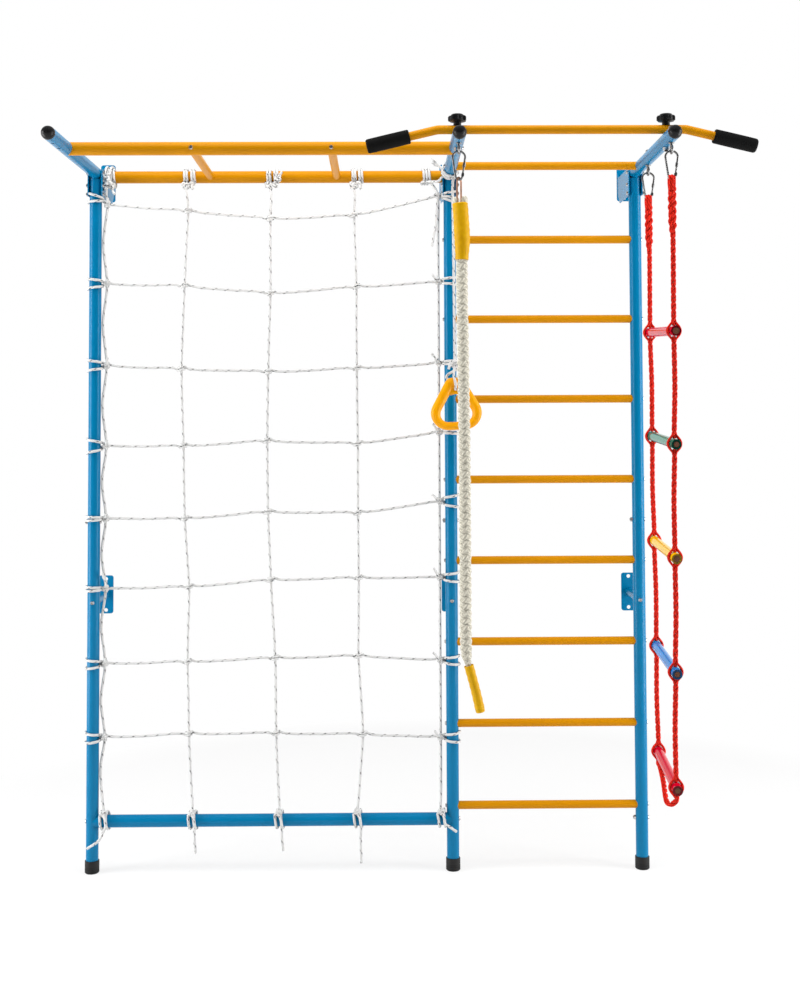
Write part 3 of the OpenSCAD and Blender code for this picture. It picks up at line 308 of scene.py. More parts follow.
# %% Lower sleeve
LOW_FROM, LOW_TO, LOW_BOW = 13.5, 141, 1.2
low_at = np.linspace(LOW_FROM, LOW_TO, 44)
low_share = (low_at - LOW_FROM) / (LOW_TO - LOW_FROM)
low_x = TIP_X + low_at * math.sin(LEAN) + LOW_BOW * np.sin(math.pi * low_share)
low_line = np.stack([low_x, np.full(44, HOOK_Y), ROPE_END - low_at * math.cos(LEAN)], 1) * MM
low_r = np.interp(low_at, [LOW_FROM, 16, 60, 137, LOW_TO], [12.6, 13.0, 12.7, 13.0, 12.2]) * MM
sleeve = shrunk_sleeve(low_line, low_r, 1.6 * MM, 0.2 * MM, True)
lower_sleeve = piece("lower_sleeve_shrunk", [sleeve], "climbing_rope", "yellow_sleeve")
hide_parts("lower_sleeve")

# %% Doubled rope above the upper sleeve
TIP_R, TIP_ROUND = 8.8, 9


def rope_tip(x, top):
    line = smooth([(0.5 * x + 2, HOOK_Y - 2, 1946), (0.85 * x + 2, HOOK_Y - 4, 1964),
                   (x + 2, HOOK_Y - 4, top - 10), (x + 2, HOOK_Y - 3, top)], 1.6) * MM
    left = (run_of(line)[-1] - run_of(line)) / (TIP_ROUND * MM)
    dome = np.sqrt(np.clip(1 - (1 - np.minimum(left, 1)) ** 2, 0.04, 1))
    return tube(line, TIP_R * MM * dome, 20)


tips = [rope_tip(-10.5, 1990), rope_tip(12.5, 1993)]
piece("rope_eye_ends", tips, "climbing_rope", "braided_rope")

# %% [markdown]
# ## Rope ladder
# Each ladder rope is laid from four strands. At a rung, two strands pass on each side of it, so the
# rung sits in an eye of rope. The strands twist between the rungs and run straight past them, which
# is written as one angle that almost stops growing near a rung. Below the last rung the rear rope runs
# on and comes back up at the front in a slack loop.

# %% Places of the ladder's rungs
REAR_HOOK_Y, RIGHT_X, RUNGS = -212, 583, 5
LADDER_Y = (HOOK_Y + REAR_HOOK_Y) / 2
LADDER_Z = [1630.2 - 307 * i for i in range(RUNGS)]
SLOPE, TURN, HALF_SPAN = math.radians(3), math.radians(3.5), 156.5


def rung_axis(i):
    turn = TURN * i / 4
    level = math.cos(SLOPE)
    return np.array([math.sin(turn) * level, math.cos(turn) * level, math.sin(SLOPE)])


def rung_end(i, side):
    return np.array([RIGHT_X, LADDER_Y, LADDER_Z[i]]) + side * HALF_SPAN * rung_axis(i)


print("first rung's ends", [rung_end(0, side).round(1).tolist() for side in (-1, 1)], "mm")

# %% Lines of the ladder's ropes
EYE_HALF, EYE_OUT = 25, 17.8
LOOP_REAR = ((0, -1, -25.5), (-3, -14, -28), (-8, -37, -26), (-15, -87, -19))
LOOP_FRONT = ((-5, 144, -16), (-12, 94, -26), (-17, 56, -39), (-17.5, 34, -49), (-12, 19, -50.5),
              (-4, 8, -43), (2, 1, -31), (0, 0, -23.5))


def ladder_line(side):
    y = HOOK_Y if side < 0 else REAR_HOOK_Y
    points = [(RIGHT_X, y, 2024), (RIGHT_X, y, 1960), (RIGHT_X + 1, y, 1900)]
    for i in range(RUNGS):
        end = rung_end(i, side)
        points += [end + (0, 0, EYE_HALF + 8), end, end - (0, 0, EYE_HALF + 8)]
        if i < RUNGS - 1:
            points.append((end + rung_end(i + 1, side)) / 2 + (2 * (-1) ** i, 0, 0))
    front, rear = rung_end(RUNGS - 1, -1), rung_end(RUNGS - 1, 1)
    if side < 0:
        points = points[:-1] + [front - (0, 0, 24)]
    else:
        points = points[:-1] + [rear + p for p in LOOP_REAR] + [front + p for p in LOOP_FRONT]
    return smooth(points, 2.5) * MM


ladder_lines = {side: ladder_line(side) for side in (-1, 1)}
print("ladder ropes", [round(float(run_of(x)[-1]), 3) for x in ladder_lines.values()], "m")

# %% Angle of the lay, in step at every rung
LAY, LAY_IN_EYE = 44, 0.1


def lay_angle(line, side):
    away = [np.linalg.norm(line / MM - rung_end(i, side), axis=1) for i in range(RUNGS)]
    near, middles = np.min(away, axis=0), np.argmin(away, axis=1)
    rate = np.where(near < EYE_HALF, LAY_IN_EYE, 1.0) / LAY / MM
    turn = TAU * np.concatenate([[0], np.cumsum(rate[1:] * np.diff(run_of(line)))])
    wanted = np.round(turn[middles] / TAU) * TAU
    turn += np.interp(np.arange(len(line)), middles, wanted - turn[middles])
    return near, turn


turned = lay_angle(ladder_lines[-1], -1)[1]
print("the front rope's lay makes", round(turned[-1] / TAU, 1), "turns")

# %% Four strands that part round each rung
STRAND_R, STRAND_OUT = 3.3 * MM, 4.2 * MM


def ladder_strands(side):
    line = ladder_lines[side]
    near, turn = lay_angle(line, side)
    t = unit(np.gradient(line, axis=0))
    ahead = np.tile((1.0, 0, 0), (len(line), 1))
    ahead = unit(ahead - t * (ahead * t).sum(1, keepdims=True))
    across = np.cross(t, ahead)
    part = np.clip(1 - (near / EYE_HALF) ** 2, 0, 1) ** 1.35
    inside = near < EYE_HALF
    cuts = np.flatnonzero(np.diff(inside.astype(int))) + 1
    halves, eyes = [], []
    for way, pair in ((1, 1), (1, -1), (-1, 1), (-1, -1)):
        a = turn + (0 if way > 0 else math.pi) + pair * 0.52
        round_it = np.cos(a)[:, None] * ahead + np.sin(a)[:, None] * across
        beside = way * EYE_OUT * MM * ahead + pair * 3.2 * MM * across
        strand = line + (1 - part)[:, None] * STRAND_OUT * round_it + part[:, None] * beside
        if way > 0:
            halves.append(tube(strand, STRAND_R, 8))
            continue
        for lo, hi in zip([0, *cuts], [*cuts, len(line)]):
            run = strand[max(lo - 1, 0):hi + 1]
            if len(run) > 2:
                (eyes if inside[lo] else halves).append(tube(run, STRAND_R, 8))
    return halves, eyes + crotches(side), line + part[:, None] * EYE_OUT * MM * ahead


def crotches(side):
    heights, radii = (14.4, 18, 22, 27), np.array([5.0, 4.8, 4.2, 3.2]) * MM
    lines = [np.array([rung_end(i, side) + (0, 0, up * h) for h in heights]) * MM
             for i in range(RUNGS) for up in (1, -1)]
    return [tube(line, radii, 10) for line in lines]


print("each rope closes", len(crotches(1)), "gaps above and below its rungs")

# %% Plaited tops on the hooks
WIRE_Z, PLAIT_PITCH = 2037.6, 0.062
ARCHES = ((-6.6, 0.6, 3.9), (0, 0, 4.8), (5.4, 0.1, 3.6))


def plaited_top(y):
    parts = []
    for dx, up, thick in ARCHES:
        wide = 4 + thick
        over = [(RIGHT_X + dx, y + wide * math.cos(a), WIRE_Z + up + wide * math.sin(a))
                for a in np.linspace(0, math.pi, 13)]
        arch = [(RIGHT_X + 0.8 * dx, y + 6, WIRE_Z - 30), (RIGHT_X + dx, y + wide, WIRE_Z - 12),
                *over,
                (RIGHT_X + dx, y - wide, WIRE_Z - 12), (RIGHT_X + 0.8 * dx, y - 6, WIRE_Z - 30)]
        parts.append(tube(smooth(arch, 2) * MM, thick * MM, 10))
    core = np.array([(RIGHT_X, y, z) for z in np.linspace(2020, 1880, 70)]) * MM
    _, n, b = steady_sides(core)
    s = run_of(core)
    fat = np.interp(s / s[-1], [0, 0.08, 0.3, 0.75, 1], [6.4, 6.8, 7.0, 6.6, 3.4]) * MM
    thin = 5.0 * MM * np.clip(fat / (6 * MM), 0.68, 1)
    for k in range(3):
        a = TAU * (s / PLAIT_PITCH + k / 3)
        out = 0.7 * np.cos(a)[:, None] * n + np.sin(a)[:, None] * b
        wobble = 1 + 0.12 * np.sin(TAU * s / 0.021 + 2.1 * k)
        parts.append(tube(core + (fat * wobble)[:, None] * out, thin, 9))
    return parts


for side, end in ((-1, "front"), (1, "rear")):
    halves, eyes, path = ladder_strands(side)
    top = plaited_top(HOOK_Y if side < 0 else REAR_HOOK_Y)
    rope = piece(f"ladder_rope_{end}_laid", halves, "ladder", "red_rope")
    rest = piece(f"ladder_rope_{end}_eyes", eyes + top, "ladder", "red_rope")
    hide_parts(f"ladder_rope_{end}")

# %% [markdown]
# ## Rope of the hand ring
# The ring hangs on the same white cord as the net. It takes nearly two turns round the middle arm and
# drops beside the post. Then it goes through the ring's hole from the front, comes up behind and is
# hitched round itself above the ring. A turn round a bar and a hitch are both a short helix.

# %% Line of the ring's rope
ARM_Z, RING_Y, RING_X, HOLE_X, RING_EYE = 2158.2, -70, 10, 11.5, 1476.7
CORD_D = 8


def winding(centre, axis, start, r, turns, pitch, steps=24):
    axis, start = np.array(axis, float), np.array(start, float)
    a = TAU * np.arange(round(turns * steps) + 1) / steps
    out = np.cos(a)[:, None] * start + np.sin(a)[:, None] * np.cross(axis, start)
    rise = pitch * (a / TAU - turns / 2)
    return np.array(centre) + r * out + rise[:, None] * axis


THROUGH_HOLE = (
    (RING_X, -6, 74), (RING_X - 3, -18, 58), (HOLE_X - 6, -24, 42), (HOLE_X - 2, -24, 22),
    (HOLE_X, -21, 8), (HOLE_X, -14, 0), (HOLE_X, 14, 0), (HOLE_X, 21, 8), (HOLE_X - 10, 24, 21),
    (HOLE_X - 23, 24, 31), (HOLE_X - 26, 22, 39), (HOLE_X - 19, 19, 47), (RING_X - 5, 14, 54),
    (RING_X + 3, 9, 60))
TAIL = ((RING_X - 6, -13, 85), (RING_X - 15, -18, 78), (RING_X - 20, -21, 60))
DROP_TOP, DROP_END, HITCH_Z = ARM_Z - 60, RING_EYE + 98, RING_EYE + 75
ring_points = [*winding((0, RING_Y, ARM_Z), (0, 1, 0), (0, 0, -1), 23.6, 1.875, 9)]
ring_points += [(8.8, RING_Y + 7, ARM_Z - 33)]
for s in (0, 0.25, 0.5, 0.75, 1):
    drop = DROP_TOP + s * (DROP_END - DROP_TOP)
    ring_points.append((RING_X - 3 * (1 - s), RING_Y + 5 * (1 - s) ** 4, drop))
ring_points += [(x, RING_Y + y, RING_EYE + z) for x, y, z in THROUGH_HOLE]
ring_points += [*winding((RING_X, RING_Y, HITCH_Z), (0, 0, -1), (0.8, 0.6, 0), 8.4, 2.25, -8.8, 16)]
ring_points += [(x, RING_Y + y, RING_EYE + z) for x, y, z in TAIL]
ring_line = smooth(ring_points, 3) * MM
print("ring rope", round(run_of(ring_line)[-1], 3), "m")

# %% Ring rope
ring_rope = piece("ring_rope_cord", [tube(ring_line, CORD_D / 2 * MM, 12)], "ring", "net_rope")
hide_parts("ring_rope")

# %% [markdown]
# ## Hand ring
# The ring is one glossy moulding: a stout rounded triangle whose top is filled by a web with the rope's
# hole in it. Its middle line is four arcs joined by straight limbs, two arcs at the top and one in each
# lower corner. A tube along that line makes the limbs, a little thinner along the bottom, where the
# ring is held. The web is a band of quads between the hole and its outline, so the hole is a real one
# with a rounded lip.

# %% Middle line of the ring
RING_LOW_Z, RING_MID_X, RING_TILT = 1401.7, 14.05, math.radians(2)
CORNER_X, CORNER_R, TOP_X, TOP_R, LIMB_LEAN = 25.5, 38, 9, 10, 29.95
lean = math.radians(LIMB_LEAN)
top_z = 1 / math.sin(lean) * (CORNER_R - TOP_R) + (CORNER_X - TOP_X) / math.tan(lean)
crown = np.array([[0, 0, top_z + TOP_R]])
arcs = [crown]
for cx, cz, r, first, last in (
        (-TOP_X, top_z, TOP_R, 90, 180 - LIMB_LEAN), (-CORNER_X, 0, CORNER_R, 180 - LIMB_LEAN, 270),
        (CORNER_X, 0, CORNER_R, 270, 360 + LIMB_LEAN), (TOP_X, top_z, TOP_R, LIMB_LEAN, 90)):
    a = np.radians(np.linspace(first, last, 30))
    arcs.append(np.stack([cx + r * np.cos(a), np.zeros(30), cz + r * np.sin(a)], 1))
ring_mid = evenly(np.concatenate([*arcs, crown]), 2.4)
print("ring's middle line", round(run_of(ring_mid)[-1]), "mm round")


# %% Limbs of the ring
def ring_place(x, z, dy=0.0):
    c, s = math.cos(RING_TILT), math.sin(RING_TILT)
    y = np.full_like(x, RING_Y) + dy
    return np.stack([RING_MID_X + c * x - s * z, y, RING_LOW_Z + s * x + c * z], -1)


limb_r = np.interp(ring_mid[:, 2], [-CORNER_R, -30, 0, 45, top_z + TOP_R],
                   [12.4, 12.8, 15, 15.2, 15.6])
limbs = tube(ring_place(ring_mid[:, 0], ring_mid[:, 2]) * MM, limb_r * MM, 32, caps=False)
print("limbs", round(2 * limb_r.min(), 1), "to", round(2 * limb_r.max(), 1), "mm thick")

# %% Web with the rope's hole
WEB_SIDES, WEB_UP, WEB_DOWN, STEEP = 48, 22.0, 26.0, 0.3
WEB_LOW, WEB_ARCH, ARCH_HALF_SQ = 51, 8, 700
HOLE_R, LIP_R, LIP_Y, WEB_Y, EDGE_Y, EDGE_IN = 5.0, 6.6, 6.5, 8.4, 6.0, 2.2
a = np.linspace(0, TAU, WEB_SIDES, endpoint=False)
hole = np.stack([np.cos(a), np.sin(a)], 1)
hole_at = np.array([0.0, RING_EYE - RING_LOW_Z])
arch = np.clip(1 - (WEB_DOWN * np.cos(a)) ** 2 / ARCH_HALF_SQ, -1, 1)
to_arch = hole_at[1] - (WEB_LOW + WEB_ARCH * arch)
below = np.minimum(WEB_DOWN, to_arch / np.maximum(-np.sin(a), STEEP))
rim = np.where(np.sin(a) > -STEEP, WEB_UP, below)
loops = []
for spread, y in ((HOLE_R, -LIP_Y), (LIP_R, -WEB_Y), (rim - EDGE_IN, -WEB_Y), (rim, -EDGE_Y),
                  (rim, EDGE_Y), (rim - EDGE_IN, WEB_Y), (LIP_R, WEB_Y), (HOLE_R, LIP_Y),
                  (HOLE_R, -LIP_Y)):
    flat = hole_at + np.broadcast_to(spread, WEB_SIDES)[:, None] * hole
    loops.append(ring_place(flat[:, 0], flat[:, 1], y))
quads, uv = band(np.arange(len(loops)) * 0.004, WEB_SIDES)
outward = [0, 3, 2, 1]
web = {"verts": np.concatenate(loops) * MM, "quads": quads[:, outward], "uv": uv[:, outward],
       "ends": [], "end_s": ()}
hand_ring = piece("hand_ring_moulding", [limbs, web], "ring", "ring_plastic")
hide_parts("hand_ring")

# %% [markdown]
# ## Climbing net
# The net is one kind of cord throughout. Five ropes hang from the top bar to the bottom bar, and eight
# rows are hitched round each of them. A row's ends are knotted, take two turns round the left and the
# middle post and are knotted again. The top row takes three turns on the middle post. Each row and
# each column is one unbroken line through all its turns and knots, as on the real net: a hitch is a
# stretch of line that circles the rope it holds, and a knot is a stretch that follows a trefoil, the
# curve of an overhand knot. It was tied by hand, so no two lashings are alike.

# %% Heights and columns of the net
LEFT_X, LOW_BAR_Z, ROW_Z, ROW_PITCH = -1108, 155, 412, 235
EDGE_GAP, COLUMN_PITCH, SWAY, SWAY_Z, SWAY_LEN = 36.5, 258.75, 12, 962.55, 2352.9
# how far each row is lifted at each column, in cord thicknesses, from the lowest row up
LIFT = [
    [-0.25, 1, 1, 0.375, -0.875], [-1.5, -0.875, 0.375, 1, -0.875], [-2.125, -1.5, 1, 1.625, 1.625],
    [-4.5, -4.625, -2.125, -2.75, 1.625], [-5.875, -5.875, -4, -5.25, -0.875],
    [-4, -5.25, -6.5, -5.25, -3.375], [-1.5, -2.125, -5.25, -2.75, -0.875],
    [0.375, -2.125, -5.25, -4, 3.5]]
ROWS = [[ROW_Z + ROW_PITCH * i + CORD_D * lift for lift in row] for i, row in enumerate(LIFT)]
# how far the three inner columns stray at the bottom bar and at each row, in mm
DRIFTS = [(7, 14, -3), (-6, 4, 13), (-8, 4, 3), (2, -3, 11), (-5, -5, 16), (-4, -2, 21), (-8, 3, 21),
          (-2, 8, 18), (2, 2, 6)]


def column_x(j, z):
    base = LEFT_X + EDGE_GAP + COLUMN_PITCH * j
    if j in (0, 4):
        return base
    drift = np.interp(z, [LOW_BAR_Z] + [row[j] for row in ROWS], [d[j - 1] for d in DRIFTS])
    return base - SWAY * math.sin(TAU * (z - SWAY_Z) / SWAY_LEN) - SWAY / 2 + drift


print("rows at", [round(row[2]) for row in ROWS], "mm on the middle column")

# %% Hitches, knots and lashings
POST_R = 19


def hitch(centre):
    return winding(centre, (0, 0, 1), (-1, 0, 0), 8.3, 1.5, 8.6, 16)


def overhand(centre, size, turn):
    a = np.linspace(0.35, TAU + 0.1, 34)
    x, z = (np.sin(a) + 2 * np.sin(2 * a)) * size, (np.cos(a) - 2 * np.cos(2 * a)) * size
    c, s = math.cos(turn), math.sin(turn)
    trefoil = np.stack([c * x - s * z, 1.4 * size * np.sin(3 * a), s * x + c * z], 1)
    return np.array(centre, float) + trefoil


def post_turns(x, z, way, spread, rises=(0, -0.75, -0.35, 0.75, 0.35)):
    a = math.pi * np.arange(12 * len(rises) - 11) / 12
    rise = np.interp(a / math.pi, range(len(rises)), np.array(rises) * spread)
    r = POST_R + 4.3 + 5 * np.clip(1 - a / 0.7, 0, 1)
    return np.stack([x + way * r * np.cos(a), r * np.sin(a), z + rise], 1)


def bar_turns(x, y, z, start, turns, pitch, r=POST_R + 4.4):
    return winding((x, y, z), (1, 0, 0), start, r, turns, pitch, 24)


def cord_in(*lines):
    return [round(run_of(np.array(line))[-1]) for line in lines]


tied = cord_in(hitch((0, 0, 0)), overhand((0, 0, 0), 2.6, 0), post_turns(0, 0, 1, 20))
print("a hitch, a knot and a lashing take", tied, "mm of cord")

# %% Turns of each row round the two posts
SPREAD = (22, 20, 9, 9, 30, 24, 22, 24)
TOP_ROW, TOP_LEFT, TOP_RIGHT = 7, (-6, 21, 0, -11, -6), (0, 14, 2, -13, -1, -33, -4)


def left_turns(i, z):
    if i == TOP_ROW:
        return post_turns(LEFT_X, z + 16, 1, 1, TOP_LEFT)
    return post_turns(LEFT_X, z, 1, SPREAD[i])


def right_turns(i, z):
    if i == TOP_ROW:
        return post_turns(0, z, -1, 1, TOP_RIGHT)
    return post_turns(0, z, -1, max(9, SPREAD[TOP_ROW - i] - 3))


print("the top row ends in", *cord_in(right_turns(TOP_ROW, 0)), "mm of turns")


# %% Rows, hitched round every column and lashed to both posts
def row_line(i):
    knots = [np.array([column_x(j, z), 0, z]) for j, z in enumerate(ROWS[i])]
    left, right = knots[0], knots[4]
    points = [left + (4, -13, 14 + 5 * (i % 3)), left + (3, -12, 8)]
    if i == 2:
        points = [left + (-6, -16, 52), left + (-2, -15, 34), *points]
    points += [*overhand(left + (0, -3, -2), 2.6, 0.5 + i), *left_turns(i, left[2]),
               *overhand(left + (2, -4, 2), 2.5, 2.2 + 1.3 * i)]
    for a, b in zip(knots, knots[1:]):
        away = unit(b - a)
        points += [a + (26 if a is left else 22) * away, (a + b) / 2 + (0, 0, -2),
                   b - (26 if b is right else 22) * away]
        if b is not right:
            points += [*hitch(b)]
    points += [*overhand(right + (-2, -4, 2), 2.5, 0.9 + 1.7 * i), *right_turns(i, right[2]),
               *overhand(right + (0, -3, -2), 2.6, 1.4 + i)]
    tail = [(-8, -13, 6), (-13, -14, 12 + 3 * (i % 3)), (-20 - 3 * (i % 2), -15, 21 + 4 * (i % 3))]
    if i == TOP_ROW:
        tail = [(-2, -13, -20), (-7, -13, -92), (-14, -14, -130), (-20, -15, -161)]
    return smooth(points + [right + p for p in tail], 3.2) * MM


row_tubes = [tube(row_line(i), CORD_D / 2 * MM, 9) for i in range(8)]
net_rows = piece("net_rows", row_tubes, "frame", "net_rope")
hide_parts("climbing_net")

# %% Lashings of the columns on the top bar
TOP_BAR, UNDER = (40, 2153.2), (0, -0.5, -0.866)


def top_lashing(j, x):
    y, z = TOP_BAR
    if j == 0:
        return [(x + 24, -10, z - 62), (x + 16, 0, z - 50), *overhand((x + 9, 8, z - 34), 3.2, 0.6),
                *bar_turns(x - 2, y, z, UNDER, 4, 9.2), *overhand((x - 17, 5, z - 14), 3.2, 1.4),
                *bar_turns(x + 1, y, z, UNDER, 2, -15, 31.5), *overhand((x - 3, 3, z - 4), 3.2, 0.2),
                *overhand((x - 11, 5, z - 36), 3.2, 2.0), *overhand((x + 2, 0, z - 24), 3.0, 2.9),
                (x - 5, 3, z - 62)]
    if j == 4:
        return [(x + 2, -44, z + 18), (x + 8, -45, z + 13), (x + 12, -46, z + 5),
                *winding((0, -38, ARM_Z), (0, 1, 0), (-0.8, 0, -0.6), 23.7, 3, 8.8),
                (x + 2, -18, z - 24), (x - 18, 6, z - 22), *bar_turns(x - 37, y, z, UNDER, 3, 8.7),
                (x - 16, 8, z - 32), (x - 5, 3, z - 50)]
    step, first, second = ((-6, -11, 12), (0, -14, 9), (0, -8, 13))[j - 1]
    x += step
    tail = [(x + 17, 6, z - 44), (x + 13, 8, z - 36)]
    if j == 2:
        tail = [(x + 31, 8, z + 11), (x + 26, 8, z + 2), *overhand((x + 18, 11, z - 10), 3.1, 0.8)]
    return [*tail, *overhand((x + 9, 14, z - 29), 2.7, 0.4 * j),
            *bar_turns(x + second, y, z, UNDER, 2, 8.0),
            *bar_turns(x + first, y, z, UNDER, 2, 8.2 if j == 2 else 7.6),
            *overhand((x - 9, 12, z - 32), 3.2, 0.9 + j), *overhand((x - 5, 9, z - 36), 2.6, 2.4 + j),
            (x - 2, 3, z - 60)]


print("top lashings take", cord_in(*(top_lashing(j, 0) for j in range(5))), "mm of cord")

# %% Lashings of the columns on the bottom bar
TAILS = [(-46, 0, -73), (15, 2, -90), (16, 2, -84), (13, 0, -122), (46, -2, -30)]
LAST_TURN = 34


def low_lashing(j, x):
    z = LOW_BAR_Z
    turns = bar_turns(x + 7, 0, z, (0, -0.6, 0.8), 2, 18)
    # the last part of the turns is drawn back over the knot
    back = np.linspace(0, 1, len(turns) - LAST_TURN)
    turns[LAST_TURN:, 0] += back * (x + 8 - turns[-1, 0])
    turns[LAST_TURN:, 1:] += (0.3 * back)[:, None] * (turns[LAST_TURN:, 1:] - (0, z))
    dx, dy, dz = TAILS[j]
    middle = [(x + 10 + 0.4 * (dx - 10), -33, z + 0.5 * dz)]
    if j == 0:
        middle = [(x + 4, -34, z - 24), (x - 10, -33, z - 49)]
    return [*overhand((x, -16, z + 28), 2.8, 0.7 * j), *turns,
            *overhand((x + 1, -20, z + 27), 2.4, 2 + j), (x + 8, -31, z + 12), (x + 11, -34, z - 6),
            *middle, (x + dx, -32 + dy, z + dz)]


print("bottom lashings take", cord_in(*(low_lashing(j, 0) for j in range(5))), "mm of cord")


# %% Columns, from the top bar to the bottom bar
def column_line(j):
    points = [*top_lashing(j, column_x(j, TOP_BAR[1]))]
    heights = [row[j] for row in ROWS[::-1]]
    for z, below in zip(heights, heights[1:] + [LOW_BAR_Z + 60]):
        middle = (z + below) / 2
        points += [(column_x(j, z), 0, z), (column_x(j, middle) - (12 if j == 0 else 0), -1, middle)]
    points += [*low_lashing(j, column_x(j, LOW_BAR_Z))]
    return smooth(points, 3.2) * MM


def frayed_end(tip_x, tip_z):
    points = [(-26, -46, 2163), (-33, -46, 2169), (0.6 * tip_x - 13, -46.5, 0.6 * tip_z + 867),
              (tip_x, -47, tip_z)]
    line = smooth(points, 2) * MM
    return tube(line, np.linspace(2.6, 1.6, len(line)) * MM, 7)


frayed = [frayed_end(*tip) for tip in (
    (-57, 2194), (-55, 2187), (-57, 2180), (-51, 2191), (-50, 2173), (-53, 2177))]
column_tubes = [tube(column_line(j), CORD_D / 2 * MM, 9) for j in range(5)]
piece("net_columns", column_tubes + frayed, "frame", "net_rope")

# %% [markdown]
# ## Foam grips
# The pull-up bar's bent ends carry soft black foam. Foam never keeps a turned edge: it bulges a little
# in the middle and rounds over at its ends, so each grip is a fine lathe along the bent bar.

# %% Foam grips on the bar's ends
BEND, BEND_R, OUT_LEN, GRIP_LEN, GRIP_R = math.radians(13.5), 60, 192, 122, 20
BAR_Y, BAR_Z, BEND_OUT = -460, 2189.9, 48


def grip_line(side):
    x0 = -BEND_OUT if side < 0 else RIGHT_X + BEND_OUT
    along_bar = np.array([side * math.cos(BEND), 0, -math.sin(BEND)])
    drop = BEND_R * (1 - math.cos(BEND))
    start = np.array([x0 + side * BEND_R * math.sin(BEND), BAR_Y, BAR_Z - drop])
    at = OUT_LEN + 4 - GRIP_LEN + GRIP_LEN * (1 - np.cos(np.linspace(0, math.pi, 49))) / 2
    return (start + at[:, None] * along_bar) * MM, (at - at[0]) / GRIP_LEN


for side, name in ((-1, "left"), (1, "right")):
    line, share = grip_line(side)
    inner_edge = 0.08 * np.clip(1 - share / 0.035, 0, 1) ** 2.2
    outer_edge = 0.16 * np.clip((share - 0.94) / 0.06, 0, 1) ** 2.6
    r = GRIP_R * (1 - inner_edge - outer_edge) + 0.35 * np.sin(math.pi * share)
    grip = piece(f"{name}_grip_foam", [tube(line, r * MM, 48)], "frame", "black_foam")
    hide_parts(f"{name}_grip")

# %% [markdown]
# ## Wooden cores of the ladder rungs
# The ladder's rungs are lacquered wood. Their sawn ends stay bare and show the brown core, set back a
# little inside the coloured rim. From the second rung down, the lacquer covers more of the end.

# %% Wooden cores
RUNG_HALF, CORE_BACK, CORE_R = 185, (1.6, 1.0, 0.85, 0.8), np.array([9.9, 9.9, 9.2, 6.0])


def core_discs(i):
    centre, axis = np.array([RIGHT_X, LADDER_Y, LADDER_Z[i]]), rung_axis(i)
    parts = []
    for end in (-1, 1):
        face = centre + end * RUNG_HALF * axis
        line = np.array([face - end * back * axis for back in CORE_BACK])
        parts.append(tube(line * MM, CORE_R * (1 if i == 0 else 0.78) * MM, 28))
    return parts


core_parts = [part for i in range(RUNGS) for part in core_discs(i)]
rung_cores = piece("ladder_rung_cores", core_parts, "ladder", "red_rung")

# %% [markdown]
# ## Shared effects
# Several finishes show the same effect, such as the soft ripple of sprayed powder or the plait of a
# cord. Each effect is a node group with named sockets, built once and placed in each material with its
# own values. A group only gives colours, masks and heights. The shader itself stays in the material.

# %% Node helpers
FLOAT, COLOUR = "NodeSocketFloat", "NodeSocketColor"


def new_group(name, inputs, outputs):
    group = bpy.data.node_groups.new(name, "ShaderNodeTree")
    for label, kind, value in inputs:
        socket = group.interface.new_socket(label, in_out="INPUT", socket_type=kind)
        socket.default_value = value
    for label, kind in outputs:
        group.interface.new_socket(label, in_out="OUTPUT", socket_type=kind)
    print("group", group.name)
    return group, group.nodes.new("NodeGroupInput").outputs, group.nodes.new("NodeGroupOutput").inputs


def node(tree, kind, links=None, **settings):
    made = tree.nodes.new(kind)
    for key, value in settings.items():
        setattr(made, key, value)
    for socket, value in (links or {}).items():
        if isinstance(value, bpy.types.NodeSocket):
            tree.links.new(value, made.inputs[socket])
        else:
            made.inputs[socket].default_value = value
    return made


def calc(tree, operation, a, b=0.0, c=0.0):
    return node(tree, "ShaderNodeMath", {0: a, 1: b, 2: c}, operation=operation).outputs[0]


def shade(tree, factor, dark, light):
    return node(tree, "ShaderNodeMix", {0: factor, 6: dark, 7: light}, data_type="RGBA").outputs[2]


def noise(tree, place, scale, **more):
    return node(tree, "ShaderNodeTexNoise", {"Vector": place, "Scale": scale, **more}).outputs["Fac"]


print("sockets are made as", FLOAT, "and", COLOUR)

# %% Group: sprayed powder coat
coat, put, out = new_group(
    "sprayed_coat",
    [("Colour", COLOUR, (0.5, 0.5, 0.5, 1)), ("Peel", FLOAT, 900.0), ("Gloss", FLOAT, 0.3)],
    [("Colour", COLOUR), ("Roughness", FLOAT), ("Height", FLOAT)])
place = node(coat, "ShaderNodeTexCoord").outputs["Object"]
peel = noise(coat, place, put["Peel"], Detail=2.0)
drift = noise(coat, place, 7.0, Detail=3.0)
tone = node(coat, "ShaderNodeHueSaturation", {
    "Color": put["Colour"], "Hue": 0.5, "Saturation": 1.0,
    "Value": calc(coat, "MULTIPLY_ADD", drift, 0.16, 0.92)}).outputs[0]
coat.links.new(tone, out["Colour"])
coat.links.new(calc(coat, "MULTIPLY_ADD", drift, 0.08, put["Gloss"]), out["Roughness"])
coat.links.new(peel, out["Height"])

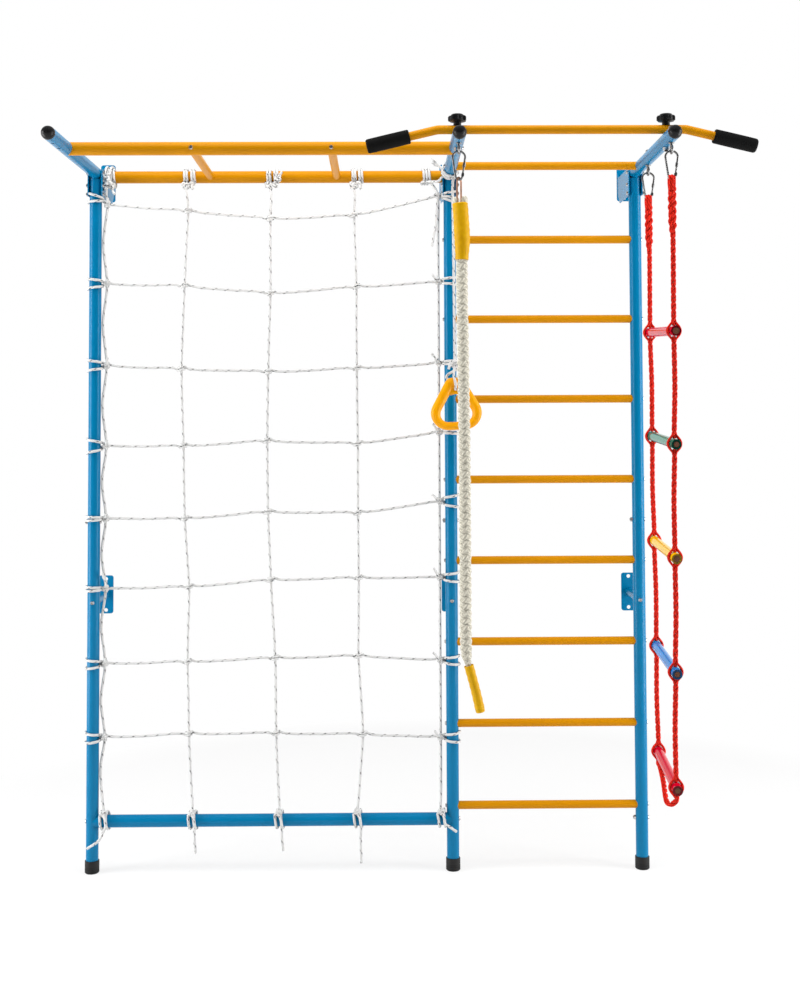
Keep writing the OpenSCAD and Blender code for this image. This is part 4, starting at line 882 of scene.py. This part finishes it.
# %% Group: plaited cord with a tracer yarn and painted shade in its grooves
plait, put, out = new_group(
    "cord_plait", [("Yarns", FLOAT, 8.0), ("Pitch", FLOAT, 0.038), ("Tracer width", FLOAT, 0.1)],
    [("Height", FLOAT), ("Hollow", FLOAT), ("Tracer", FLOAT)])
rope_uv = node(plait, "ShaderNodeUVMap", uv_map="rope").outputs[0]
length, turn = node(plait, "ShaderNodeSeparateXYZ", {0: rope_uv}).outputs[:2]
turns = calc(plait, "DIVIDE", length, put["Pitch"])
helices = [calc(plait, "MULTIPLY_ADD", turns, sign, turn) for sign in (1.0, -1.0)]
waves = [calc(plait, "SINE", calc(plait, "MULTIPLY", calc(plait, "MULTIPLY", x, put["Yarns"]), TAU))
         for x in helices]
height = calc(plait, "MAXIMUM", *waves)
# a mask that is high in the grooves between the yarns, where the cord is painted darker as shade
painted_groove_shade = node(plait, "ShaderNodeMapRange", {"Value": height, "From Min": 0.3, "From Max": -0.7})
yarn = calc(plait, "LESS_THAN", calc(plait, "FRACT", helices[0]), put["Tracer width"])
shows = calc(plait, "LESS_THAN", calc(plait, "FRACT", calc(plait, "MULTIPLY", turn, 4.0)), 0.55)
plait.links.new(height, out["Height"])
plait.links.new(painted_groove_shade.outputs[0], out["Hollow"])
plait.links.new(calc(plait, "MULTIPLY", yarn, shows), out["Tracer"])

# %% Group: yarns of one strand
lay, put, out = new_group("strand_yarns", [("Yarns", FLOAT, 6.0), ("Pitch", FLOAT, 0.012)],
                          [("Height", FLOAT)])
rope_uv = node(lay, "ShaderNodeUVMap", uv_map="rope").outputs[0]
length, turn = node(lay, "ShaderNodeSeparateXYZ", {0: rope_uv}).outputs[:2]
helix = calc(lay, "ADD", calc(lay, "MULTIPLY", turn, put["Yarns"]),
             calc(lay, "DIVIDE", length, put["Pitch"]))
wave = calc(lay, "SINE", calc(lay, "MULTIPLY", helix, TAU))
place = node(lay, "ShaderNodeTexCoord").outputs["Object"]
fuzz = noise(lay, place, 420.0, Detail=5.0, Roughness=0.7)
lay.links.new(calc(lay, "MULTIPLY_ADD", fuzz, 0.6, wave), out["Height"])

# %% Group: moulded grain
grain, put, out = new_group("moulded_grain", [("Scale", FLOAT, 600.0), ("Rough", FLOAT, 0.5)],
                            [("Height", FLOAT), ("Roughness", FLOAT), ("Drift", FLOAT)])
place = node(grain, "ShaderNodeTexCoord").outputs["Object"]
pits = noise(grain, place, put["Scale"], Detail=4.0, Roughness=0.65)
haze = noise(grain, place, 45.0, Detail=3.0)
rough = calc(grain, "ADD", put["Rough"], calc(grain, "MULTIPLY_ADD", haze, 0.2, -0.1))
grain.links.new(pits, out["Height"])
grain.links.new(rough, out["Roughness"])
grain.links.new(haze, out["Drift"])

# %% [markdown]
# ## Finishes
# Each finish is named as in the part's record. The frame is powder-coated steel in blue and
# yellow-orange, smooth and half glossy with a faint ripple. Fittings are zinc-plated, the mouldings
# are black or yellow, and the ropes are cotton, white polypropylene with dark tracer yarns, and red
# cord.

# %% Powder-coated frame
finish = {}


def new_finish(name, **sockets):
    made = bpy.data.materials.new("finish_" + name)
    made.use_nodes = True
    body = made.node_tree.nodes["Principled BSDF"]
    for socket, value in sockets.items():
        body.inputs[socket.replace("_", " ")].default_value = value
    finish[name] = made
    return made.node_tree, body


def use(tree, group, **values):
    made = node(tree, "ShaderNodeGroup", node_tree=group)
    for key, value in values.items():
        made.inputs[key.replace("_", " ")].default_value = value
    return made.outputs


def dress(tree, body, colour, height, depth, roughness=None):
    tree.links.new(colour, body.inputs["Base Color"])
    if roughness:
        tree.links.new(roughness, body.inputs["Roughness"])
    bump = node(tree, "ShaderNodeBump", {"Height": height, "Distance": depth})
    tree.links.new(bump.outputs[0], body.inputs["Normal"])


for name, colour, gloss, sheen in (("blue_enamel", (0.0, 0.172, 0.36, 1), 0.2, 0.17),
                                   ("yellow_enamel", (0.58, 0.235, 0.0, 1), 0.3, 0.13)):
    tree, body = new_finish(name, Specular_IOR_Level=sheen)
    made = use(tree, coat, Colour=colour, Peel=900.0, Gloss=gloss)
    dress(tree, body, made["Colour"], made["Height"], 0.000008, made["Roughness"])
print(list(finish))

# %% Lacquered ladder rungs, with painted shade on their end faces
SHADED_END_SHARE = 0.22
for name, colour in (("red_rung", (0.6, 0.0, 0.022)), ("green_rung", (0.01, 0.2, 0.13)),
                     ("yellow_rung", (0.86, 0.5, 0.0)), ("blue_rung", (0.0, 0.2, 0.58))):
    tree, body = new_finish(name, Specular_IOR_Level=0.2)
    made = use(tree, coat, Colour=(*colour, 1), Peel=320.0, Gloss=0.08)
    normal = node(tree, "ShaderNodeTexCoord").outputs["Normal"]
    facing = calc(tree, "ABSOLUTE", node(tree, "ShaderNodeSeparateXYZ", {0: normal}).outputs[1])
    # faces that point along the rung take a darker copy of the lacquer colour: painted shade on the
    # ends
    sawn = node(tree, "ShaderNodeMapRange", {"Value": facing, "From Min": 0.75, "From Max": 0.97})
    shaded_end_colour = (*(SHADED_END_SHARE * c for c in colour), 1)
    dress(tree, body, shade(tree, sawn.outputs[0], made["Colour"], shaded_end_colour), made["Height"], 0.000006,
          made["Roughness"])
print(len(finish), "finishes with the rungs")


# %% Moulded plastic, rubber and foam
def grained(name, dark, light, rough, scale, depth, **sockets):
    tree, body = new_finish(name, **sockets)
    made = use(tree, grain, Scale=scale, Rough=rough)
    colour = shade(tree, made["Drift"], (*dark, 1), (*light, 1))
    dress(tree, body, colour, made["Height"], depth, made["Roughness"])


for name, dark, light, rough, scale, depth, sheen in (
        ("black_plastic", (0.004, 0.004, 0.0045), (0.008, 0.008, 0.0085), 0.36, 700.0, 0.00005, 0.25),
        ("black_rubber", (0.008, 0.008, 0.008), (0.016, 0.016, 0.016), 0.55, 500.0, 0.00008, 0.3),
        ("black_foam", (0.0035, 0.0035, 0.0035), (0.007, 0.007, 0.007), 0.75, 330.0, 0.0003, 0.1),
        ("ring_plastic", (0.8, 0.31, 0.0), (0.9, 0.4, 0.001), 0.24, 260.0, 0.00003, 0.2),
        ("yellow_sleeve", (0.56, 0.27, 0.0), (0.8, 0.47, 0.0), 0.45, 190.0, 0.0003, 0.18)):
    grained(name, dark, light, rough, scale, depth, Specular_IOR_Level=sheen)
print(len(finish), "finishes with the mouldings")

# %% Metal fittings
# the hooks' finish is a darker copy of the zinc: painted shade
for name, dark, light, rough in (("zinc_steel", (0.5, 0.51, 0.52), (0.7, 0.7, 0.71), 0.26),
                                 ("bright_hook", (0.2, 0.2, 0.2), (0.34, 0.34, 0.34), 0.3),
                                 ("copper_wire", (0.33, 0.16, 0.09), (0.55, 0.3, 0.2), 0.32)):
    grained(name, dark, light, rough, 240.0, 0.00005, Metallic=1.0)
print(len(finish), "finishes with the fittings")

# %% Ropes, with painted shade in their grooves
tree, body = new_finish("net_rope", Roughness=0.75, Specular_IOR_Level=0.25)
made = use(tree, plait, Yarns=6.0, Pitch=0.037, Tracer_width=0.14)
# the grey in the plait's grooves is painted shade; the dark tracer yarn is the cord's own colour
cord_with_painted_shade = shade(tree, made["Hollow"], (0.72, 0.72, 0.71, 1), (0.48, 0.48, 0.48, 1))
dress(tree, body, shade(tree, made["Tracer"], cord_with_painted_shade, (0.05, 0.05, 0.055, 1)), made["Height"], 0.0002)
for name, dark, light, yarns, pitch in (
        ("braided_rope", (0.5, 0.47, 0.39, 1), (0.75, 0.72, 0.61, 1), 5.0, 0.02),
        ("red_rope", (0.44, 0.006, 0.002, 1), (0.8, 0.02, 0.005, 1), 4.0, 0.014)):
    tree, body = new_finish(name, Roughness=0.75, Specular_IOR_Level=0.2)
    made = use(tree, lay, Yarns=yarns, Pitch=pitch)
    height = made["Height"]
    # the colour runs from dark between the yarns to light on their crests: painted shade in the creases
    level = node(tree, "ShaderNodeMapRange", {"Value": height, "From Min": -0.8, "From Max": 0.9})
    dress(tree, body, shade(tree, level.outputs[0], dark, light), height, 0.0003)
print(len(finish), "finishes with the ropes")

# %% Bare wood of the rung cores
tree, body = new_finish("rung_core", Roughness=0.7)
place = node(tree, "ShaderNodeTexCoord").outputs["Object"]
rings = node(tree, "ShaderNodeTexWave",
             {"Vector": place, "Scale": 160.0, "Distortion": 4.0, "Detail": 3.0},
             wave_type="RINGS", rings_direction="Y").outputs["Fac"]
dress(tree, body, shade(tree, rings, (0.08, 0.025, 0.01, 1), (0.2, 0.07, 0.03, 1)), rings, 0.0001)
print(len(finish), "finishes in all")

# %% Give every piece its finish
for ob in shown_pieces():
    name = ob.get("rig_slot") or ob.material_slots[0].material.name.split(".")[0]
    # carabiners, gates and eye bolts take the darker copy of the zinc, which is painted shade
    if any(word in ob.name for word in ("carabiner", "gate", "eye_bolts")):
        name = "bright_hook"
    made = finish["rung_core"] if ob is rung_cores else finish[name]
    if ob.material_slots:
        for slot in ob.material_slots:
            slot.material = made
    else:
        ob.data.materials.append(made)

# %% [markdown]
# ## Floor and light
# The photograph is a studio cut-out on white. Two tall soft panels stand left and right of the gym, so
# each tube has a bright stripe along both edges, and the room behind the camera is dark, so the middle
# of each tube stays deep and black parts stay black. A lamp overhead, which isn't mirrored in the
# tubes, and the pale floor light the upper and lower edge of each level bar. Behind the gym it is
# white, for the camera and for reflections.

# %% Studio world
ROOM, ROOM_BEHIND, ROOM_ABOVE = 0.04, 0.5, 0.42
LEVEL, BEHIND = 0.3, 0.25
world = bpy.data.worlds.new("studio")
scene.world = world
world.use_nodes = True
tree = world.node_tree
tree.nodes.clear()
heading = node(tree, "ShaderNodeTexCoord").outputs["Generated"]
_, back, up = node(tree, "ShaderNodeSeparateXYZ", {0: heading}).outputs
strength = calc(tree, "MULTIPLY_ADD", calc(tree, "MAXIMUM", back, 0.0), ROOM_BEHIND, ROOM)
strength = calc(tree, "MULTIPLY_ADD", calc(tree, "MAXIMUM", up, 0.0), ROOM_ABOVE, strength)
lit = node(tree, "ShaderNodeBackground", {"Color": (1, 1, 1, 1), "Strength": strength})
white = node(tree, "ShaderNodeBackground", {"Color": (1, 1, 1, 1), "Strength": 1.0})
ray = node(tree, "ShaderNodeLightPath").outputs
level_ray = calc(tree, "LESS_THAN", calc(tree, "ABSOLUTE", up), LEVEL)
wall = calc(tree, "MULTIPLY", level_ray, calc(tree, "GREATER_THAN", back, BEHIND))
mirrored = calc(tree, "MULTIPLY", ray["Is Glossy Ray"], wall)
seen = calc(tree, "MAXIMUM", ray["Is Camera Ray"], ray["Is Transmission Ray"])
both = node(tree, "ShaderNodeMixShader", {
    0: calc(tree, "MAXIMUM", seen, mirrored), 1: lit.outputs[0], 2: white.outputs[0]})
tree.links.new(both.outputs[0], node(tree, "ShaderNodeOutputWorld").inputs[0])
print("world", len(tree.nodes), "nodes")

# %% [markdown]
# The floor shades from its own pale grey near the posts, where it keeps their shadow, to plain white
# further out. What the camera, a reflection or a clear part sees of it is mostly white. The light that
# it sends on to the gym comes from the grey alone.

# %% Pale floor
FLOOR_HALF, NEAR, FAR, LEAST_WHITE = 9, 0.9, 2.0, 0.75
mesh = bpy.data.meshes.new("floor")
corners = [(x * FLOOR_HALF, y * FLOOR_HALF, 0) for x, y in ((-1, -1), (1, -1), (1, 1), (-1, 1))]
mesh.from_pydata(corners, [], [(0, 1, 2, 3)])
floor = bpy.data.objects.new("floor", mesh)
scene.collection.objects.link(floor)
floor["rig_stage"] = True
pale_floor = bpy.data.materials.new("pale_floor")
pale_floor.use_nodes = True
tree = pale_floor.node_tree
body = tree.nodes["Principled BSDF"]
body.inputs["Base Color"].default_value = (0.94, 0.94, 0.94, 1)
body.inputs["Roughness"].default_value = 0.9
glow = node(tree, "ShaderNodeEmission", {"Strength": 1.0})
place = node(tree, "ShaderNodeTexCoord").outputs["Object"]
distance = node(tree, "ShaderNodeVectorMath", {0: place}, operation="LENGTH").outputs["Value"]
far = node(tree, "ShaderNodeMapRange", {"Value": distance, "From Min": NEAR, "From Max": FAR})
ray = node(tree, "ShaderNodeLightPath").outputs
seen = calc(tree, "MAXIMUM", ray["Is Glossy Ray"], ray["Is Transmission Ray"])
seen = calc(tree, "MAXIMUM", ray["Is Camera Ray"], seen)
share_white = calc(tree, "MULTIPLY", calc(tree, "MAXIMUM", far.outputs[0], LEAST_WHITE), seen)
both = node(tree, "ShaderNodeMixShader", {0: share_white, 1: body.outputs[0], 2: glow.outputs[0]})
tree.links.new(both.outputs[0], tree.nodes["Material Output"].inputs[0])
mesh.materials.append(pale_floor)
print("floor", 2 * FLOOR_HALF, "m wide")


# %% Soft lamps
def soft_panel(name, place, target, width, height, power, mirrored=True):
    lamp = bpy.data.lights.new(name, "AREA")
    lamp.shape, lamp.size, lamp.size_y, lamp.energy = "RECTANGLE", width, height, power
    ob = bpy.data.objects.new(name, lamp)
    ob.location = place
    ob.rotation_euler = (Vector(target) - Vector(place)).to_track_quat("-Z", "Y").to_euler()
    ob.visible_camera = False
    ob.visible_glossy = mirrored
    scene.collection.objects.link(ob)
    print(name, power, "W")


soft_panel("left_panel", (-3.1, -0.7, 1.35), (-0.3, -0.1, 1.3), 1.1, 2.7, 74)
soft_panel("right_panel", (2.6, -0.7, 1.35), (-0.2, -0.1, 1.3), 1.1, 2.7, 74)
soft_panel("top_panel", (-0.3, -0.8, 3.5), (-0.3, -0.1, 1.2), 3.0, 1.4, 62, mirrored=False)

# %% [markdown]
# ## View and sizes
# The Standard view shows a colour about as it is written. Both boxes, of the CAD frame and of the
# dressed gym, are kept so that their sizes can be compared.

# %% View and sizes
scene.view_settings.view_transform = "Standard"
look_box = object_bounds()
grown = (look_box[1] - look_box[0]) - (cad_box[1] - cad_box[0])
print("grown by", [round(x, 4) for x in grown], "m")
